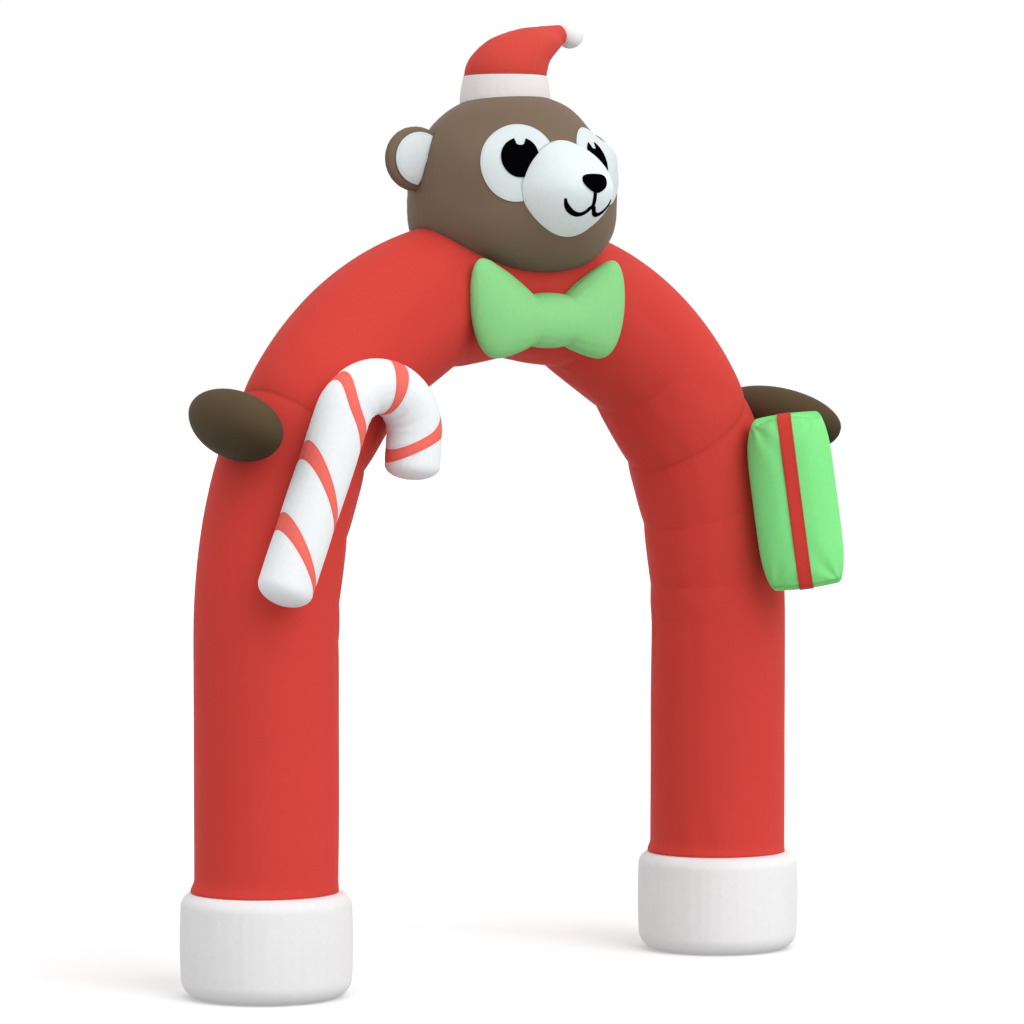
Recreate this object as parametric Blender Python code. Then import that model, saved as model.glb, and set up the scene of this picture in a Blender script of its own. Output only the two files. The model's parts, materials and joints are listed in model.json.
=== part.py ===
"""Inflatable Christmas arch with a bear's head, at full size. Metres, +Z up.

Every piece is an air-filled cloth shape that is sewn to its neighbours. The arch stands in
the XZ plane of its own frame, its two feet on the ground, and the bear looks along -Y.
Seams are left SEAM_GAP wide, so that no two pieces touch.
"""

from dataclasses import dataclass
from functools import partial
from math import copysign, cos, exp, hypot, pi, radians, sin

import bmesh
import bpy
from mathutils import Euler, Matrix, Vector

# ---------------------------------------------------------------- driving dimensions
SEAM_GAP = 0.0003
FRAME_Y = 0.092  # the arch plane lies behind the middle of the whole object's box

# Arch tube
HALF_SPAN = 0.722  # from the middle to the axis of a leg
TUBE_RADIUS = 0.175
SPRING_HEIGHT = 0.858  # where the legs turn into the arc
ARC_RISE = 0.864
ARC_POWER = 2.2  # 2 is an ellipse, more is squarer at the shoulders
ARC_SEAMS = (0, 15.5, 36, 53, 68, 82)  # degrees from the apex, the same on both sides
SEAM_PINCH = 0.003
LEG_FLARE = 0.0055  # how far a leg widens where it is sewn to its foot
LEG_FLARE_HEIGHT = 0.035
TUBE_SIDES = 20

# Feet
FOOT_RADIUS = 0.2075
FOOT_HEIGHT = 0.254
FOOT_TOP_ROUND = 0.034
FOOT_BOTTOM_ROUND = 0.046
FOOT_SIDES = 20

# Head and muzzle, in the head's own frame: its upright axis, turned a little to the side
HEAD_Y = -0.043
HEAD_TURN = radians(-4)
HEAD_MIDDLE = Vector((0, 0, 1.9105))
HEAD_RADIUS = 0.262
HEAD_UP = 0.294
HEAD_DOWN = 0.168
HEAD_POWER = 2.33
MUZZLE_MIDDLE = Vector((-0.004, -0.1815, 1.9575))
MUZZLE_HALF = (0.1272, 0.1936, 0.1284)
MUZZLE_DOWN = 0.1337
MUZZLE_POWER = 1.78
MUZZLE_CHIN = 0.0266  # how far its lowest part is drawn back toward the head

# Ears: discs that face forward
EAR_MIDDLE = Vector((0.2555, 0.047, 2.038))
EAR_HALF = (0.088, 0.034, 0.0815)
INNER_EAR_HALF = (0.0715, 0.066)

# Pieces of cloth sewn on the face
PATCH_THICKNESS = 0.0025
PATCH_SINK = 0.006  # a patch starts this far inside its body, which then cuts it to fit
EYE_UP = 0.1146
EYE_DOWN = 0.1031
BULGE_PLACE = (0.100, 0.045)  # the fullest part of an eye, outward and up from its middle
BULGE_SIZE = 0.035
PUPIL_UP = 0.0136  # above the middle of the eye
PUPIL_TALL = 0.0522
GLINT_RADIUS = 0.014  # a bite out of the top of the pupil
GLINT_HEIGHT = 0.0442  # above the middle of the pupil
NOSE_HEIGHT = 0.0125  # above the middle of the muzzle
NOSE_HALF = (0.0368, 0.0246)
NOSE_SHOULDER = 0.0072  # the nose is widest this far above its middle
NOSE_CORNER = 0.59  # lower is squarer, 1 is an ellipse
NOSE_POINT = (1.7, 0.72)
MOUTH_WIDTH = 0.0102
MOUTH = (  # the middle of the mouth's right half: x and height on the muzzle
    (0.0, -0.0445),
    (0.0058, -0.0482),
    (0.0108, -0.0555),
    (0.0180, -0.0610),
    (0.0280, -0.0630),
    (0.0400, -0.0595),
    (0.0525, -0.0510),
    (0.0625, -0.0385),
    (0.0682, -0.0240),
)
LIP_START = (-0.0040, -0.0040)  # the line under the nose starts here, hidden by the nose

# Hat
HAT_Y = -0.017
BAND_RADIUS_LOW = 0.1145
BAND_RADIUS_HIGH = 0.1056
BAND_BULGE = 0.003
BAND_BOTTOM = 2.165  # hidden: the head's crown cuts the band off above this
BAND_TOP = 2.251
CROWN_RADIUS = 0.1046
HAT_SIDES = 20
POMPOM_MIDDLE = Vector((0.2081, -0.017, 2.364))
POMPOM_RADIUS = 0.036

# Bow tie, in front of the apex
BOW_Y = -0.190
BOW_SIDES = 18

# Candy cane, a bent tube in front of the left leg
CANE_START = Vector((-0.8193, -0.2215, 1.0044))
CANE_RADIUS = 0.0675
CANE_LEAN = radians(22.3)
CANE_SHAFT = 0.436
CANE_BEND_RADIUS = 0.1112
CANE_BEND = radians(162)
CANE_END = 0.067
CANE_LOW_ROUND = 0.045
CANE_HIGH_ROUND = 0.040
CANE_SIDES = 14

# Gift, a boxy cushion in front of the right leg
GIFT_MIDDLE = Vector((0.7435, -0.2775, 1.1772))
GIFT_HALF = (0.1089, 0.082, 0.2227)
GIFT_FRONT = 0.068  # half thickness of its front half
GIFT_TAPER = {  # how much narrower its lower and its upper end are, left and right
    -1: (0.22, 0.29),
    1: (0.18, 0.18),
}
GIFT_THINNING = 0.42  # how much thinner both ends are
GIFT_END = (0.93, 0.62)  # share of that width and thickness at the end seams
GIFT_SQUARENESS = (3.2, 1.95)  # of its back and its front, where 2 is an ellipse
GIFT_TURN = radians(-43)
GIFT_LEAN = radians(-7.6)
RIBBON_WIDTH = 0.036
RIBBON_THICKNESS = 0.0015
RIBBON_GAP = 0.0004
RIBBON_TURN_IN = 0.3  # the strap ends this share of the thickness in front of the middle

# Paws, on the outside of the shoulders
PAW_MIDDLE = Vector((0.8635, -0.0774, 1.3914))
PAW_HALF = (0.078, 0.2028, 0.0758)
PAW_DOWN = 0.0876
PAW_SPLAY = radians(8.5)
PAW_DROP = radians(8.86)

RED = (0.60, 0.055, 0.042)
WHITE = (0.80, 0.79, 0.80)
PALE = (0.62, 0.70, 0.71)
BROWN = (0.17, 0.115, 0.078)
PAW_BROWN = (0.095, 0.066, 0.043)
BLACK = (0.003, 0.003, 0.003)
BOW_GREEN = (0.32, 0.74, 0.30)
GIFT_GREEN = (0.26, 0.80, 0.28)
RIBBON_RED = (0.56, 0.05, 0.036)


@dataclass(frozen=True)
class Egg:
    """A round inflated body: circular or oval in plan, with its own reach up and down."""

    middle: Vector
    half_x: float
    half_y: float
    up: float
    down: float
    power: float = 2.0
    chin: float = 0.0  # how far its lowest part is drawn back

    def reach(self, unit):
        """How far the skin is from the middle, before the chin is drawn back."""
        plan = hypot(unit.x / self.half_x, unit.y / self.half_y)
        tall = abs(unit.z) / (self.up if unit.z > 0 else self.down)
        return (plan**self.power + tall**self.power) ** (-1 / self.power)

    def skin(self, direction, grow=0.0):
        """The point of the skin, or of a layer over it, that lies in a direction."""
        unit = direction.normalized()
        spot = unit * (self.reach(unit) + grow)
        spot.y += self.chin * min(max(-spot.z / self.down, 0), 1) ** 2
        return self.middle + spot


@dataclass(frozen=True)
class Eye:
    """A pale patch on the head and the pupil on it."""

    turn: float  # from straight ahead to its middle
    height: float  # above the middle of the head
    inner: float  # half width toward the nose
    outer: float  # half width toward the ear
    trim: float  # 1 is an ellipse, more cuts the outer lower quarter back
    bulge: float
    pupil_inward: float
    pupil_half: float

    def swell(self, side, across, high):
        """How far its top is puffed out over its edge at a spot of the flat patch."""
        wide = self.outer if across * side > 0 else self.inner
        tall = EYE_UP if high > 0 else EYE_DOWN
        inside = 1 - (across / wide) ** 2 - (high / tall) ** 2
        away = hypot(across - side * BULGE_PLACE[0], high - BULGE_PLACE[1])
        edge = min(max(inside / 0.16, 0), 1)
        return self.bulge * edge * exp(-((away / BULGE_SIZE) ** 2))


HEAD = Egg(HEAD_MIDDLE, HEAD_RADIUS, HEAD_RADIUS, HEAD_UP, HEAD_DOWN, HEAD_POWER)
MUZZLE = Egg(MUZZLE_MIDDLE, *MUZZLE_HALF, MUZZLE_DOWN, MUZZLE_POWER, MUZZLE_CHIN)
EYES = {  # the right one is fuller and wraps the cheek
    -1: Eye(radians(32.0), 0.1112, 0.1079, 0.0882, 1.0, 0.002, 0.0116, 0.0464),
    1: Eye(radians(28.8), 0.1070, 0.0985, 0.1500, 2.8, 0.011, 0.0215, 0.0385),
}


# ---------------------------------------------------------------- scene and materials
def clear_scene():
    for thing in list(bpy.data.objects):
        bpy.data.objects.remove(thing, do_unlink=True)


def cloth(name, colour):
    """One matte polyester cloth for each piece."""
    material = bpy.data.materials.new(name + "_cloth")
    material.use_nodes = True
    shader = material.node_tree.nodes["Principled BSDF"]
    shader.inputs["Base Color"].default_value = (*colour, 1)
    shader.inputs["Roughness"].default_value = 0.62
    shader.inputs["Metallic"].default_value = 0
    return material


def add_piece(name, points, faces, colour=None, frame="arch_frame"):
    """Makes one closed object. Without a colour it is a cutter, which is not built."""
    mesh = bpy.data.meshes.new(name)
    mesh.from_pydata([tuple(point) for point in points], [], faces)
    shell = bmesh.new()
    shell.from_mesh(mesh)
    bmesh.ops.recalc_face_normals(shell, faces=shell.faces)
    shell.to_mesh(mesh)
    shell.free()
    mesh.shade_smooth()
    mesh.set_sharp_from_angle(angle=radians(50))
    piece = bpy.data.objects.new(name, mesh)
    bpy.context.collection.objects.link(piece)
    piece.parent = bpy.data.objects[frame]
    if colour is None:
        piece.hide_render = True
        piece.display_type = "WIRE"
    else:
        mesh.materials.append(cloth(name, colour))
    return piece


def cut(piece, *cutters):
    for cutter in cutters:
        boolean = piece.modifiers.new("cut_" + cutter.name, "BOOLEAN")
        boolean.operation = "DIFFERENCE"
        boolean.solver = "EXACT"
        boolean.object = cutter


# ---------------------------------------------------------------- mesh builders
def loft(rings):
    """Joins rings of equal length one after another, and closes both ends."""
    count = len(rings[0])
    points = [point for ring in rings for point in ring]
    faces = [tuple(range(count)), tuple(range(len(points) - count, len(points)))]
    for step in range(len(rings) - 1):
        low = step * count
        for side in range(count):
            after = (side + 1) % count
            faces.append((low + side, low + after, low + count + after, low + count + side))
    return points, faces


def turned(profile, sides, x=0.0, y=0.0):
    """Turns a list of (radius, height) rows about an upright axis."""
    rings = []
    for radius, height in profile:
        angles = [2 * pi * side / sides for side in range(sides)]
        rings.append([Vector((x + radius * cos(a), y + radius * sin(a), height)) for a in angles])
    return loft(rings)


def egg_points(egg, sides, bands, grow=0.0):
    """An egg as rings from its foot to its crown, ending in two poles."""
    rings = []
    for band in range(1, bands):
        lift = -pi / 2 + pi * band / bands
        ring = []
        for side in range(sides):
            turn = 2 * pi * side / sides
            tall = egg.up if lift > 0 else egg.down
            toward = Vector((
                egg.half_x * cos(lift) * cos(turn),
                egg.half_y * cos(lift) * sin(turn),
                tall * sin(lift),
            ))
            ring.append(egg.skin(toward, grow))
        rings.append(ring)
    points, faces = loft(rings)
    faces = faces[2:]
    foot, crown = len(points), len(points) + 1
    points += [egg.skin(Vector((0, 0, -1)), grow), egg.skin(Vector((0, 0, 1)), grow)]
    last = len(rings[0]) * (len(rings) - 1)
    for side in range(sides):
        after = (side + 1) % sides
        faces.append((foot, after, side))
        faces.append((crown, last + side, last + after))
    return points, faces


def rounded_end(steps):
    """(how far along the end, share of the radius) rows of a soft round end."""
    return [(sin(pi / 2 * k / steps), cos(pi / 2 * k / steps)) for k in range(1, steps)]


def no_swell(across, high):
    return 0


def patch(egg, toward, outline, middle=(0, 0), rings=2, bottom=-PATCH_SINK,
          top=PATCH_THICKNESS, swell=no_swell):
    """A piece of cloth on an egg's skin.

    The outline is (right, up) points about a middle, both flat and measured from toward.
    """
    ahead = toward.normalized()
    right = ahead.cross(Vector((0, 0, 1))).normalized() * -1
    up = right.cross(ahead) * -1
    base = ahead * egg.reach(ahead)
    spots = [middle]
    for ring in range(1, rings + 1):
        share = ring / rings
        spots += [(middle[0] + x * share, middle[1] + z * share) for x, z in outline]
    layers = []
    for lift, puffed in ((bottom, 0), (top, 1)):
        layer = []
        for across, high in spots:
            spot = base + right * across + up * high
            layer.append(egg.skin(spot, lift + puffed * swell(across, high)))
        layers.append(layer)
    return close_layers(layers, len(outline), rings)


def close_layers(layers, count, rings):
    """Faces for two round layers of points (a middle, then rings) and the rim between them."""
    points = layers[0] + layers[1]
    faces = []
    for start in (0, len(layers[0])):
        for side in range(count):
            after = (side + 1) % count
            faces.append((start, start + 1 + side, start + 1 + after))
            for ring in range(rings - 1):
                low = start + 1 + ring * count
                faces.append((low + side, low + after, low + count + after, low + count + side))
    rim = 1 + (rings - 1) * count
    for side in range(count):
        after = (side + 1) % count
        top = len(layers[0])
        faces.append((rim + side, rim + after, top + rim + after, top + rim + side))
    return points, faces


def stroke(egg, path, width):
    """A thin strip on an egg's skin. The path is (x, z) points as seen from the front."""
    rings = []
    for index, (x, z) in enumerate(path):
        before = path[max(index - 1, 0)]
        behind = path[min(index + 1, len(path) - 1)]
        along = Vector((behind[0] - before[0], behind[1] - before[1])).normalized()
        side = Vector((-along.y, along.x)) * width / 2
        ring = []
        low, high = -PATCH_SINK, PATCH_THICKNESS
        for sign, lift in ((-1, low), (1, low), (1, high), (-1, high)):
            way = front_of(egg, x + sign * side.x, z + sign * side.y)
            ring.append(egg.skin(way, lift))
        rings.append(ring)
    return loft(rings)


def front_of(egg, x, z):
    """The way from an egg's middle to the point of its front at (x, z)."""
    tall = min(abs(z) / (egg.up if z > 0 else egg.down), 1)
    plan = (1 - tall**egg.power) ** (1 / egg.power)
    share = plan**2 - (x / egg.half_x) ** 2
    return Vector((x, -egg.half_y * max(share, 0) ** 0.5, z))


def ellipse(half_width, half_height, count):
    angles = [2 * pi * k / count for k in range(count)]
    return [(half_width * cos(a), half_height * sin(a)) for a in angles]


# ---------------------------------------------------------------- arch
def arc_point(turn):
    """Middle of the tube and its outward direction, turn degrees from the apex."""
    across, high = sin(radians(turn)), cos(radians(turn))
    flat = abs(across) / HALF_SPAN
    tall = abs(high) / ARC_RISE
    reach = (flat**ARC_POWER + tall**ARC_POWER) ** (-1 / ARC_POWER)
    middle = Vector((reach * across, 0, SPRING_HEIGHT + reach * high))
    outward = Vector((
        (1 if across > 0 else -1) * (reach * flat) ** (ARC_POWER - 1) / HALF_SPAN,
        0,
        (reach * tall) ** (ARC_POWER - 1) / ARC_RISE,
    ))
    return middle, outward.normalized()


def tube_ring(middle, outward, radius):
    ring = []
    for side in range(TUBE_SIDES):
        angle = 2 * pi * side / TUBE_SIDES
        ring.append(middle + outward * radius * cos(angle) + Vector((0, radius * sin(angle), 0)))
    return ring


def between(first, last, middle, share):
    """A ring between two seams: its outer side stays round, its inner side is pulled straight."""
    ring = []
    for side, point in enumerate(middle):
        straight = first[side].lerp(last[side], share)
        inner = max(-cos(2 * pi * side / TUBE_SIDES), 0)
        ring.append(point.lerp(straight, inner))
    return ring


def arc_rings(grow):
    """Rings from the left springing to the right one, two between each pair of seams."""
    seams = [-90] + [-turn for turn in ARC_SEAMS[:0:-1]] + list(ARC_SEAMS) + [90]
    rings = []
    for left, right in zip(seams, seams[1:]):
        first = tube_ring(*arc_point(left), TUBE_RADIUS - SEAM_PINCH + grow)
        last = tube_ring(*arc_point(right), TUBE_RADIUS - SEAM_PINCH + grow)
        rings.append(first)
        steps = 2 if abs(right - left) < 16 else 3
        for step in range(1, steps):
            share = step / steps
            middle = tube_ring(*arc_point(left + (right - left) * share), TUBE_RADIUS + grow)
            rings.append(between(first, last, middle, share))
    rings.append(tube_ring(*arc_point(90), TUBE_RADIUS - SEAM_PINCH + grow))
    return rings


def leg_rings(side, grow):
    """Rings of one leg from its foot up to just under the springing."""
    foot = FOOT_HEIGHT + SEAM_GAP - grow
    rows = (  # height, extra radius
        (foot, LEG_FLARE),
        (FOOT_HEIGHT + LEG_FLARE_HEIGHT / 2, LEG_FLARE * 0.3),
        (FOOT_HEIGHT + LEG_FLARE_HEIGHT, 0),
        ((FOOT_HEIGHT + SPRING_HEIGHT) / 2, 0),
    )
    rings = []
    for height, extra in rows:
        middle = Vector((side * HALF_SPAN, 0, height))
        rings.append(tube_ring(middle, Vector((side, 0, 0)), TUBE_RADIUS + extra + grow))
    return rings


def arch_points(grow=0.0):
    return loft(leg_rings(-1, grow) + arc_rings(grow) + leg_rings(1, grow)[::-1])


def add_foot(name, x):
    """A short fat round cushion with a flat underside."""
    profile = [(FOOT_RADIUS - FOOT_BOTTOM_ROUND, 0)]
    for k in (1, 2, 3):
        angle = pi / 2 * k / 3
        radius = FOOT_RADIUS - FOOT_BOTTOM_ROUND * (1 - sin(angle))
        profile.append((radius, FOOT_BOTTOM_ROUND * (1 - cos(angle))))
    for k in (0, 1, 2, 3):
        angle = pi / 2 * k / 3
        radius = FOOT_RADIUS - FOOT_TOP_ROUND * (1 - cos(angle))
        profile.append((radius, FOOT_HEIGHT - FOOT_TOP_ROUND * (1 - sin(angle))))
    add_piece(name, *turned(profile, FOOT_SIDES, x=x), WHITE)


# ---------------------------------------------------------------- head
def face_direction(turn, height, side):
    """From the middle of the head to a spot on its skin, turn from straight ahead."""
    plan = (1 - (height / HEAD_UP) ** HEAD_POWER) ** (1 / HEAD_POWER) * HEAD_RADIUS
    return Vector((side * plan * sin(turn), -plan * cos(turn), height))


def eye_outline(eye, side, count=24):
    """An oval with an inner and an outer reach, and its outer lower quarter trimmed."""
    outline = []
    for k in range(count):
        across, high = cos(2 * pi * k / count), sin(2 * pi * k / count)
        outer = across * side > 0
        x = across * (eye.outer if outer else eye.inner)
        if high > 0:
            outline.append((x, EYE_UP * high))
        else:
            outline.append((x, -EYE_DOWN * abs(high) ** (eye.trim if outer else 1)))
    return outline


def pupil_outline(half, count=24):
    """An oval with a round bite out of its top."""
    outline = []
    for k in range(count):
        angle = 2 * pi * k / count
        x, z = half * cos(angle), PUPIL_TALL * sin(angle)
        bite = GLINT_RADIUS**2 - x**2
        if z > 0 and bite > 0:
            z = GLINT_HEIGHT - bite**0.5
        outline.append((x, z))
    return outline


def nose_outline(grow=0.0, count=18):
    """A flat top with round corners, and sides that run down to a round point."""
    outline = []
    for k in range(count):
        across, high = cos(2 * pi * k / count), sin(2 * pi * k / count)
        if high > 0:
            wide = abs(across) ** NOSE_CORNER
            z = (NOSE_HALF[1] - NOSE_SHOULDER + grow) * high**NOSE_CORNER
        else:
            wide = (1 - abs(high) ** NOSE_POINT[0]) ** NOSE_POINT[1]
            z = (NOSE_HALF[1] + NOSE_SHOULDER + grow) * high
        outline.append((copysign((NOSE_HALF[0] + grow) * wide, across), NOSE_SHOULDER + z))
    return outline


def add_head_piece(name, shape, colour=None):
    return add_piece(name, *shape, colour, frame="head_frame")


def add_ear(name, side, head_cutter):
    """A disc that faces forward, with a pale lining sewn inside its rim."""
    middle = Vector((side * EAR_MIDDLE.x, EAR_MIDDLE.y, EAR_MIDDLE.z))
    ear = Egg(middle, EAR_HALF[0], EAR_HALF[1], EAR_HALF[2], EAR_HALF[2])
    cut(add_head_piece(name, egg_points(ear, 18, 8), BROWN), head_cutter)
    ear_cutter = add_head_piece(name + "_cutter", egg_points(ear, 18, 8, SEAM_GAP))
    outline = ellipse(*INNER_EAR_HALF, 18)
    inner = add_head_piece("inner_" + name, ear_lining(ear, outline), PALE)
    cut(inner, ear_cutter, head_cutter)


def ear_lining(ear, outline, rings=3):
    """A piece that follows the front of an ear."""
    layers = []
    for lift in (-PATCH_SINK, PATCH_THICKNESS):
        ahead = ear.middle - Vector((0, lift, 0))
        layer = [ahead + front_of(ear, 0, 0)]
        for ring in range(1, rings + 1):
            for x, z in outline:
                layer.append(ahead + front_of(ear, x * ring / rings, z * ring / rings))
        layers.append(layer)
    return close_layers(layers, len(outline), rings)


def add_eye(name, side, head_cutter, muzzle_cutter):
    """A pale oval patch and a black pupil on it, both tucked behind the muzzle."""
    eye = EYES[side]
    toward = face_direction(eye.turn, eye.height, side)
    outline = eye_outline(eye, side)
    swell = partial(eye.swell, side)
    shape = patch(HEAD, toward, outline, rings=4, swell=swell)
    cut(add_head_piece("eye_" + name, shape, PALE), head_cutter, muzzle_cutter)
    over_eye = PATCH_THICKNESS + SEAM_GAP
    raised = patch(HEAD, toward, outline, rings=4, top=over_eye, swell=swell)
    eye_cutter = add_head_piece("eye_cutter_" + name, raised)
    middle = (-side * eye.pupil_inward, PUPIL_UP)
    top = over_eye + PATCH_THICKNESS
    round_it = pupil_outline(eye.pupil_half)
    pupil = patch(HEAD, toward, round_it, middle, rings=3, bottom=0, top=top, swell=swell)
    cut(add_head_piece("pupil_" + name, pupil, BLACK), eye_cutter, muzzle_cutter)


def add_face(head_cutter):
    muzzle_cutter = add_head_piece("muzzle_cutter", egg_points(MUZZLE, 20, 10, SEAM_GAP))
    cut(add_head_piece("muzzle", egg_points(MUZZLE, 20, 10), PALE), head_cutter)
    for name, side in (("left", -1), ("right", 1)):
        add_ear("ear_" + name, side, head_cutter)
        add_eye(name, side, head_cutter, muzzle_cutter)
    add_features(muzzle_cutter)


def add_features(muzzle_cutter):
    """The nose, the mouth and the line between them, all on the muzzle."""
    nose_spot = front_of(MUZZLE, 0, NOSE_HEIGHT)
    lip = MOUTH[0][1] + MOUTH_WIDTH / 2 + SEAM_GAP
    lip_line = [LIP_START, (LIP_START[0] / 2, (LIP_START[1] + lip) / 2), (0, lip)]
    mouth_path = [(-x, z) for x, z in MOUTH[:0:-1]] + list(MOUTH)
    around_nose = patch(MUZZLE, nose_spot, nose_outline(SEAM_GAP), top=2 * PATCH_THICKNESS)
    nose_cutter = add_head_piece("nose_cutter", around_nose)
    nose = add_head_piece("nose", patch(MUZZLE, nose_spot, nose_outline()), BLACK)
    mouth = add_head_piece("mouth", stroke(MUZZLE, mouth_path, MOUTH_WIDTH), BLACK)
    line = add_head_piece("lip_line", stroke(MUZZLE, lip_line, MOUTH_WIDTH), BLACK)
    cut(nose, muzzle_cutter)
    cut(mouth, muzzle_cutter)
    cut(line, nose_cutter, muzzle_cutter)


# ---------------------------------------------------------------- hat
def crown_rings(grow=0.0):
    """The red cone of the hat, which bends over to the side."""
    rows = (  # x, height, radius, lean in degrees
        (0.000, BAND_TOP + SEAM_GAP, CROWN_RADIUS, 0),
        (0.005, 2.272, 0.1035, 3),
        (0.018, 2.296, 0.0985, 6),
        (0.049, 2.3235, 0.0880, 12),
        (0.095, 2.3460, 0.0675, 19),
        (0.138, 2.3570, 0.0415, 32),
        (0.164, 2.3615, 0.0290, 50),
        (0.178, 2.3645, 0.0235, 70),
    )
    rings = []
    for x, height, radius, lean in rows:
        tilt = Matrix.Rotation(radians(lean), 3, "Y")
        middle = Vector((x, HAT_Y, height)) + tilt @ Vector((0, 0, grow))
        ring = []
        for side in range(HAT_SIDES):
            angle = 2 * pi * side / HAT_SIDES
            spoke = Vector((cos(angle), sin(angle), 0)) * (radius + grow)
            ring.append(middle + tilt @ spoke)
        rings.append(ring)
    return rings


def add_hat(head_cutter):
    """A white band round the head's crown, the red cone on it, and the ball at its tip."""
    band = []
    for share in (0, 1 / 3, 2 / 3, 1):
        straight = BAND_RADIUS_LOW + (BAND_RADIUS_HIGH - BAND_RADIUS_LOW) * share
        height = BAND_BOTTOM + (BAND_TOP - BAND_BOTTOM) * share
        band.append((straight + BAND_BULGE * sin(pi * share), height))
    cut(add_piece("hat_band", *turned(band, HAT_SIDES, y=HAT_Y), WHITE), head_cutter)
    add_piece("hat_crown", *loft(crown_rings()), RED)
    crown_cutter = add_piece("crown_cutter", *loft(crown_rings(SEAM_GAP)))
    ball = Egg(POMPOM_MIDDLE, *(POMPOM_RADIUS,) * 4)
    cut(add_piece("pompom", *egg_points(ball, 16, 8), WHITE), crown_cutter)


# ---------------------------------------------------------------- pieces on the arch
def bow_rings():
    """Two puffed lobes and the gathered middle between them."""
    rows = (  # x, top, bottom, half thickness
        (0.000, 1.7070, 1.5695, 0.0515),
        (0.028, 1.7060, 1.5705, 0.0518),
        (0.055, 1.7012, 1.5765, 0.0525),
        (0.066, 1.7100, 1.5700, 0.0531),
        (0.090, 1.7290, 1.5600, 0.0545),
        (0.130, 1.7550, 1.5480, 0.056),
        (0.165, 1.7740, 1.5440, 0.052),
        (0.192, 1.7870, 1.5540, 0.043),
        (0.215, 1.7870, 1.5830, 0.031),
        (0.2305, 1.7660, 1.6250, 0.019),
        (0.2375, 1.7300, 1.6700, 0.008),
    )
    rings = []
    for side, half in ((-1, rows[::-1]), (1, rows[1:])):
        for x, top, bottom, thick in half:
            ring = []
            for k in range(BOW_SIDES):
                angle = 2 * pi * k / BOW_SIDES
                high = (top + bottom) / 2 + (top - bottom) / 2 * sin(angle)
                ring.append(Vector((side * x, BOW_Y + thick * cos(angle), high)))
            rings.append(ring)
    return rings


def cane_path():
    """(point, direction) rows along the axis: a shaft, a bend and a short end."""
    rows = []
    shaft = Vector((sin(CANE_LEAN), 0, cos(CANE_LEAN)))
    for k in range(7):
        rows.append((CANE_START + shaft * CANE_SHAFT * k / 6, shaft))
    pivot = rows[-1][0] + Vector((cos(CANE_LEAN), 0, -sin(CANE_LEAN))) * CANE_BEND_RADIUS
    for k in range(1, 12):
        turn = CANE_LEAN + CANE_BEND * k / 11
        spot = pivot + Vector((-cos(turn), 0, sin(turn))) * CANE_BEND_RADIUS
        rows.append((spot, Vector((sin(turn), 0, cos(turn)))))
    last, along = rows[-1]
    rows += [(last + along * CANE_END * share, along) for share in (0.5, 1)]
    return rows


def cane_rings():
    """The tube about the path, closed by two rounded ends."""
    path = cane_path()
    rows = [(spot, along, 1) for spot, along in path]
    for far, share in rounded_end(4):
        spot, along = path[0]
        rows.insert(0, (spot - along * CANE_LOW_ROUND * far, along, share))
    for far, share in rounded_end(3):
        spot, along = path[-1]
        rows.append((spot + along * CANE_HIGH_ROUND * far, along, share))
    return [cane_ring(spot, along, CANE_RADIUS * share) for spot, along, share in rows]


def cane_ring(spot, along, radius):
    flat = Vector((along.z, 0, -along.x))
    ring = []
    for k in range(CANE_SIDES):
        angle = 2 * pi * k / CANE_SIDES
        ring.append(spot + flat * radius * cos(angle) + Vector((0, radius * sin(angle), 0)))
    return ring


def gift_reach(place, across, deep):
    """Half width and half thickness toward one side, from the lower end (-1) to the upper."""
    share = abs(place)
    taper = GIFT_TAPER[1 if across > 0 else -1][1 if place > 0 else 0]
    width = GIFT_HALF[0] * (1 - taper * share**5)
    thick = (GIFT_HALF[1] if deep > 0 else GIFT_FRONT) * (1 - GIFT_THINNING * share**5)
    if share == 1:
        return width * GIFT_END[0], thick * GIFT_END[1]
    return width, thick


def gift_outline(place, count=20):
    """A section of the gift: a flattish back and a round front."""
    points = []
    for k in range(count):
        angle = 2 * pi * (k + 0.5) / count
        across, deep = cos(angle), sin(angle)
        power = GIFT_SQUARENESS[0 if deep > 0 else 1]
        reach = (abs(across) ** power + abs(deep) ** power) ** (-1 / power)
        width, thick = gift_reach(place, across, deep)
        points.append((width * across * reach, thick * deep * reach))
    return points


def gift_rings():
    rings = []
    for share in (-1, -0.97, -0.86, -0.62, -0.3, 0, 0.3, 0.62, 0.86, 0.97, 1):
        outline = gift_outline(share)
        rings.append([Vector((x, y, share * GIFT_HALF[2])) for x, y in outline])
    return rings


def ribbon_rings():
    """A strap down the front of the gift that turns over its top and bottom edges."""
    front = [(ring[0].z, min(point.y for point in ring)) for ring in gift_rings()]
    (low, low_deep), (high, high_deep) = front[0], front[-1]
    path = [(low, low_deep * RIBBON_TURN_IN)] + front + [(high, high_deep * RIBBON_TURN_IN)]
    rings = []
    for index, (height, deep) in enumerate(path):
        before, behind = path[max(index - 1, 0)], path[min(index + 1, len(path) - 1)]
        along = Vector((behind[1] - before[1], behind[0] - before[0])).normalized()
        out = Vector((0, -along.y, along.x))
        ring = []
        for sign, lift in ((-1, 0), (1, 0), (1, 1), (-1, 1)):
            spot = Vector((sign * RIBBON_WIDTH / 2, deep, height))
            ring.append(spot + out * (RIBBON_GAP + RIBBON_THICKNESS * lift))
        rings.append(ring)
    return rings


def place_gift(piece):
    piece.location = GIFT_MIDDLE
    piece.rotation_euler = Euler((0, GIFT_LEAN, GIFT_TURN), "XYZ")


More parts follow.
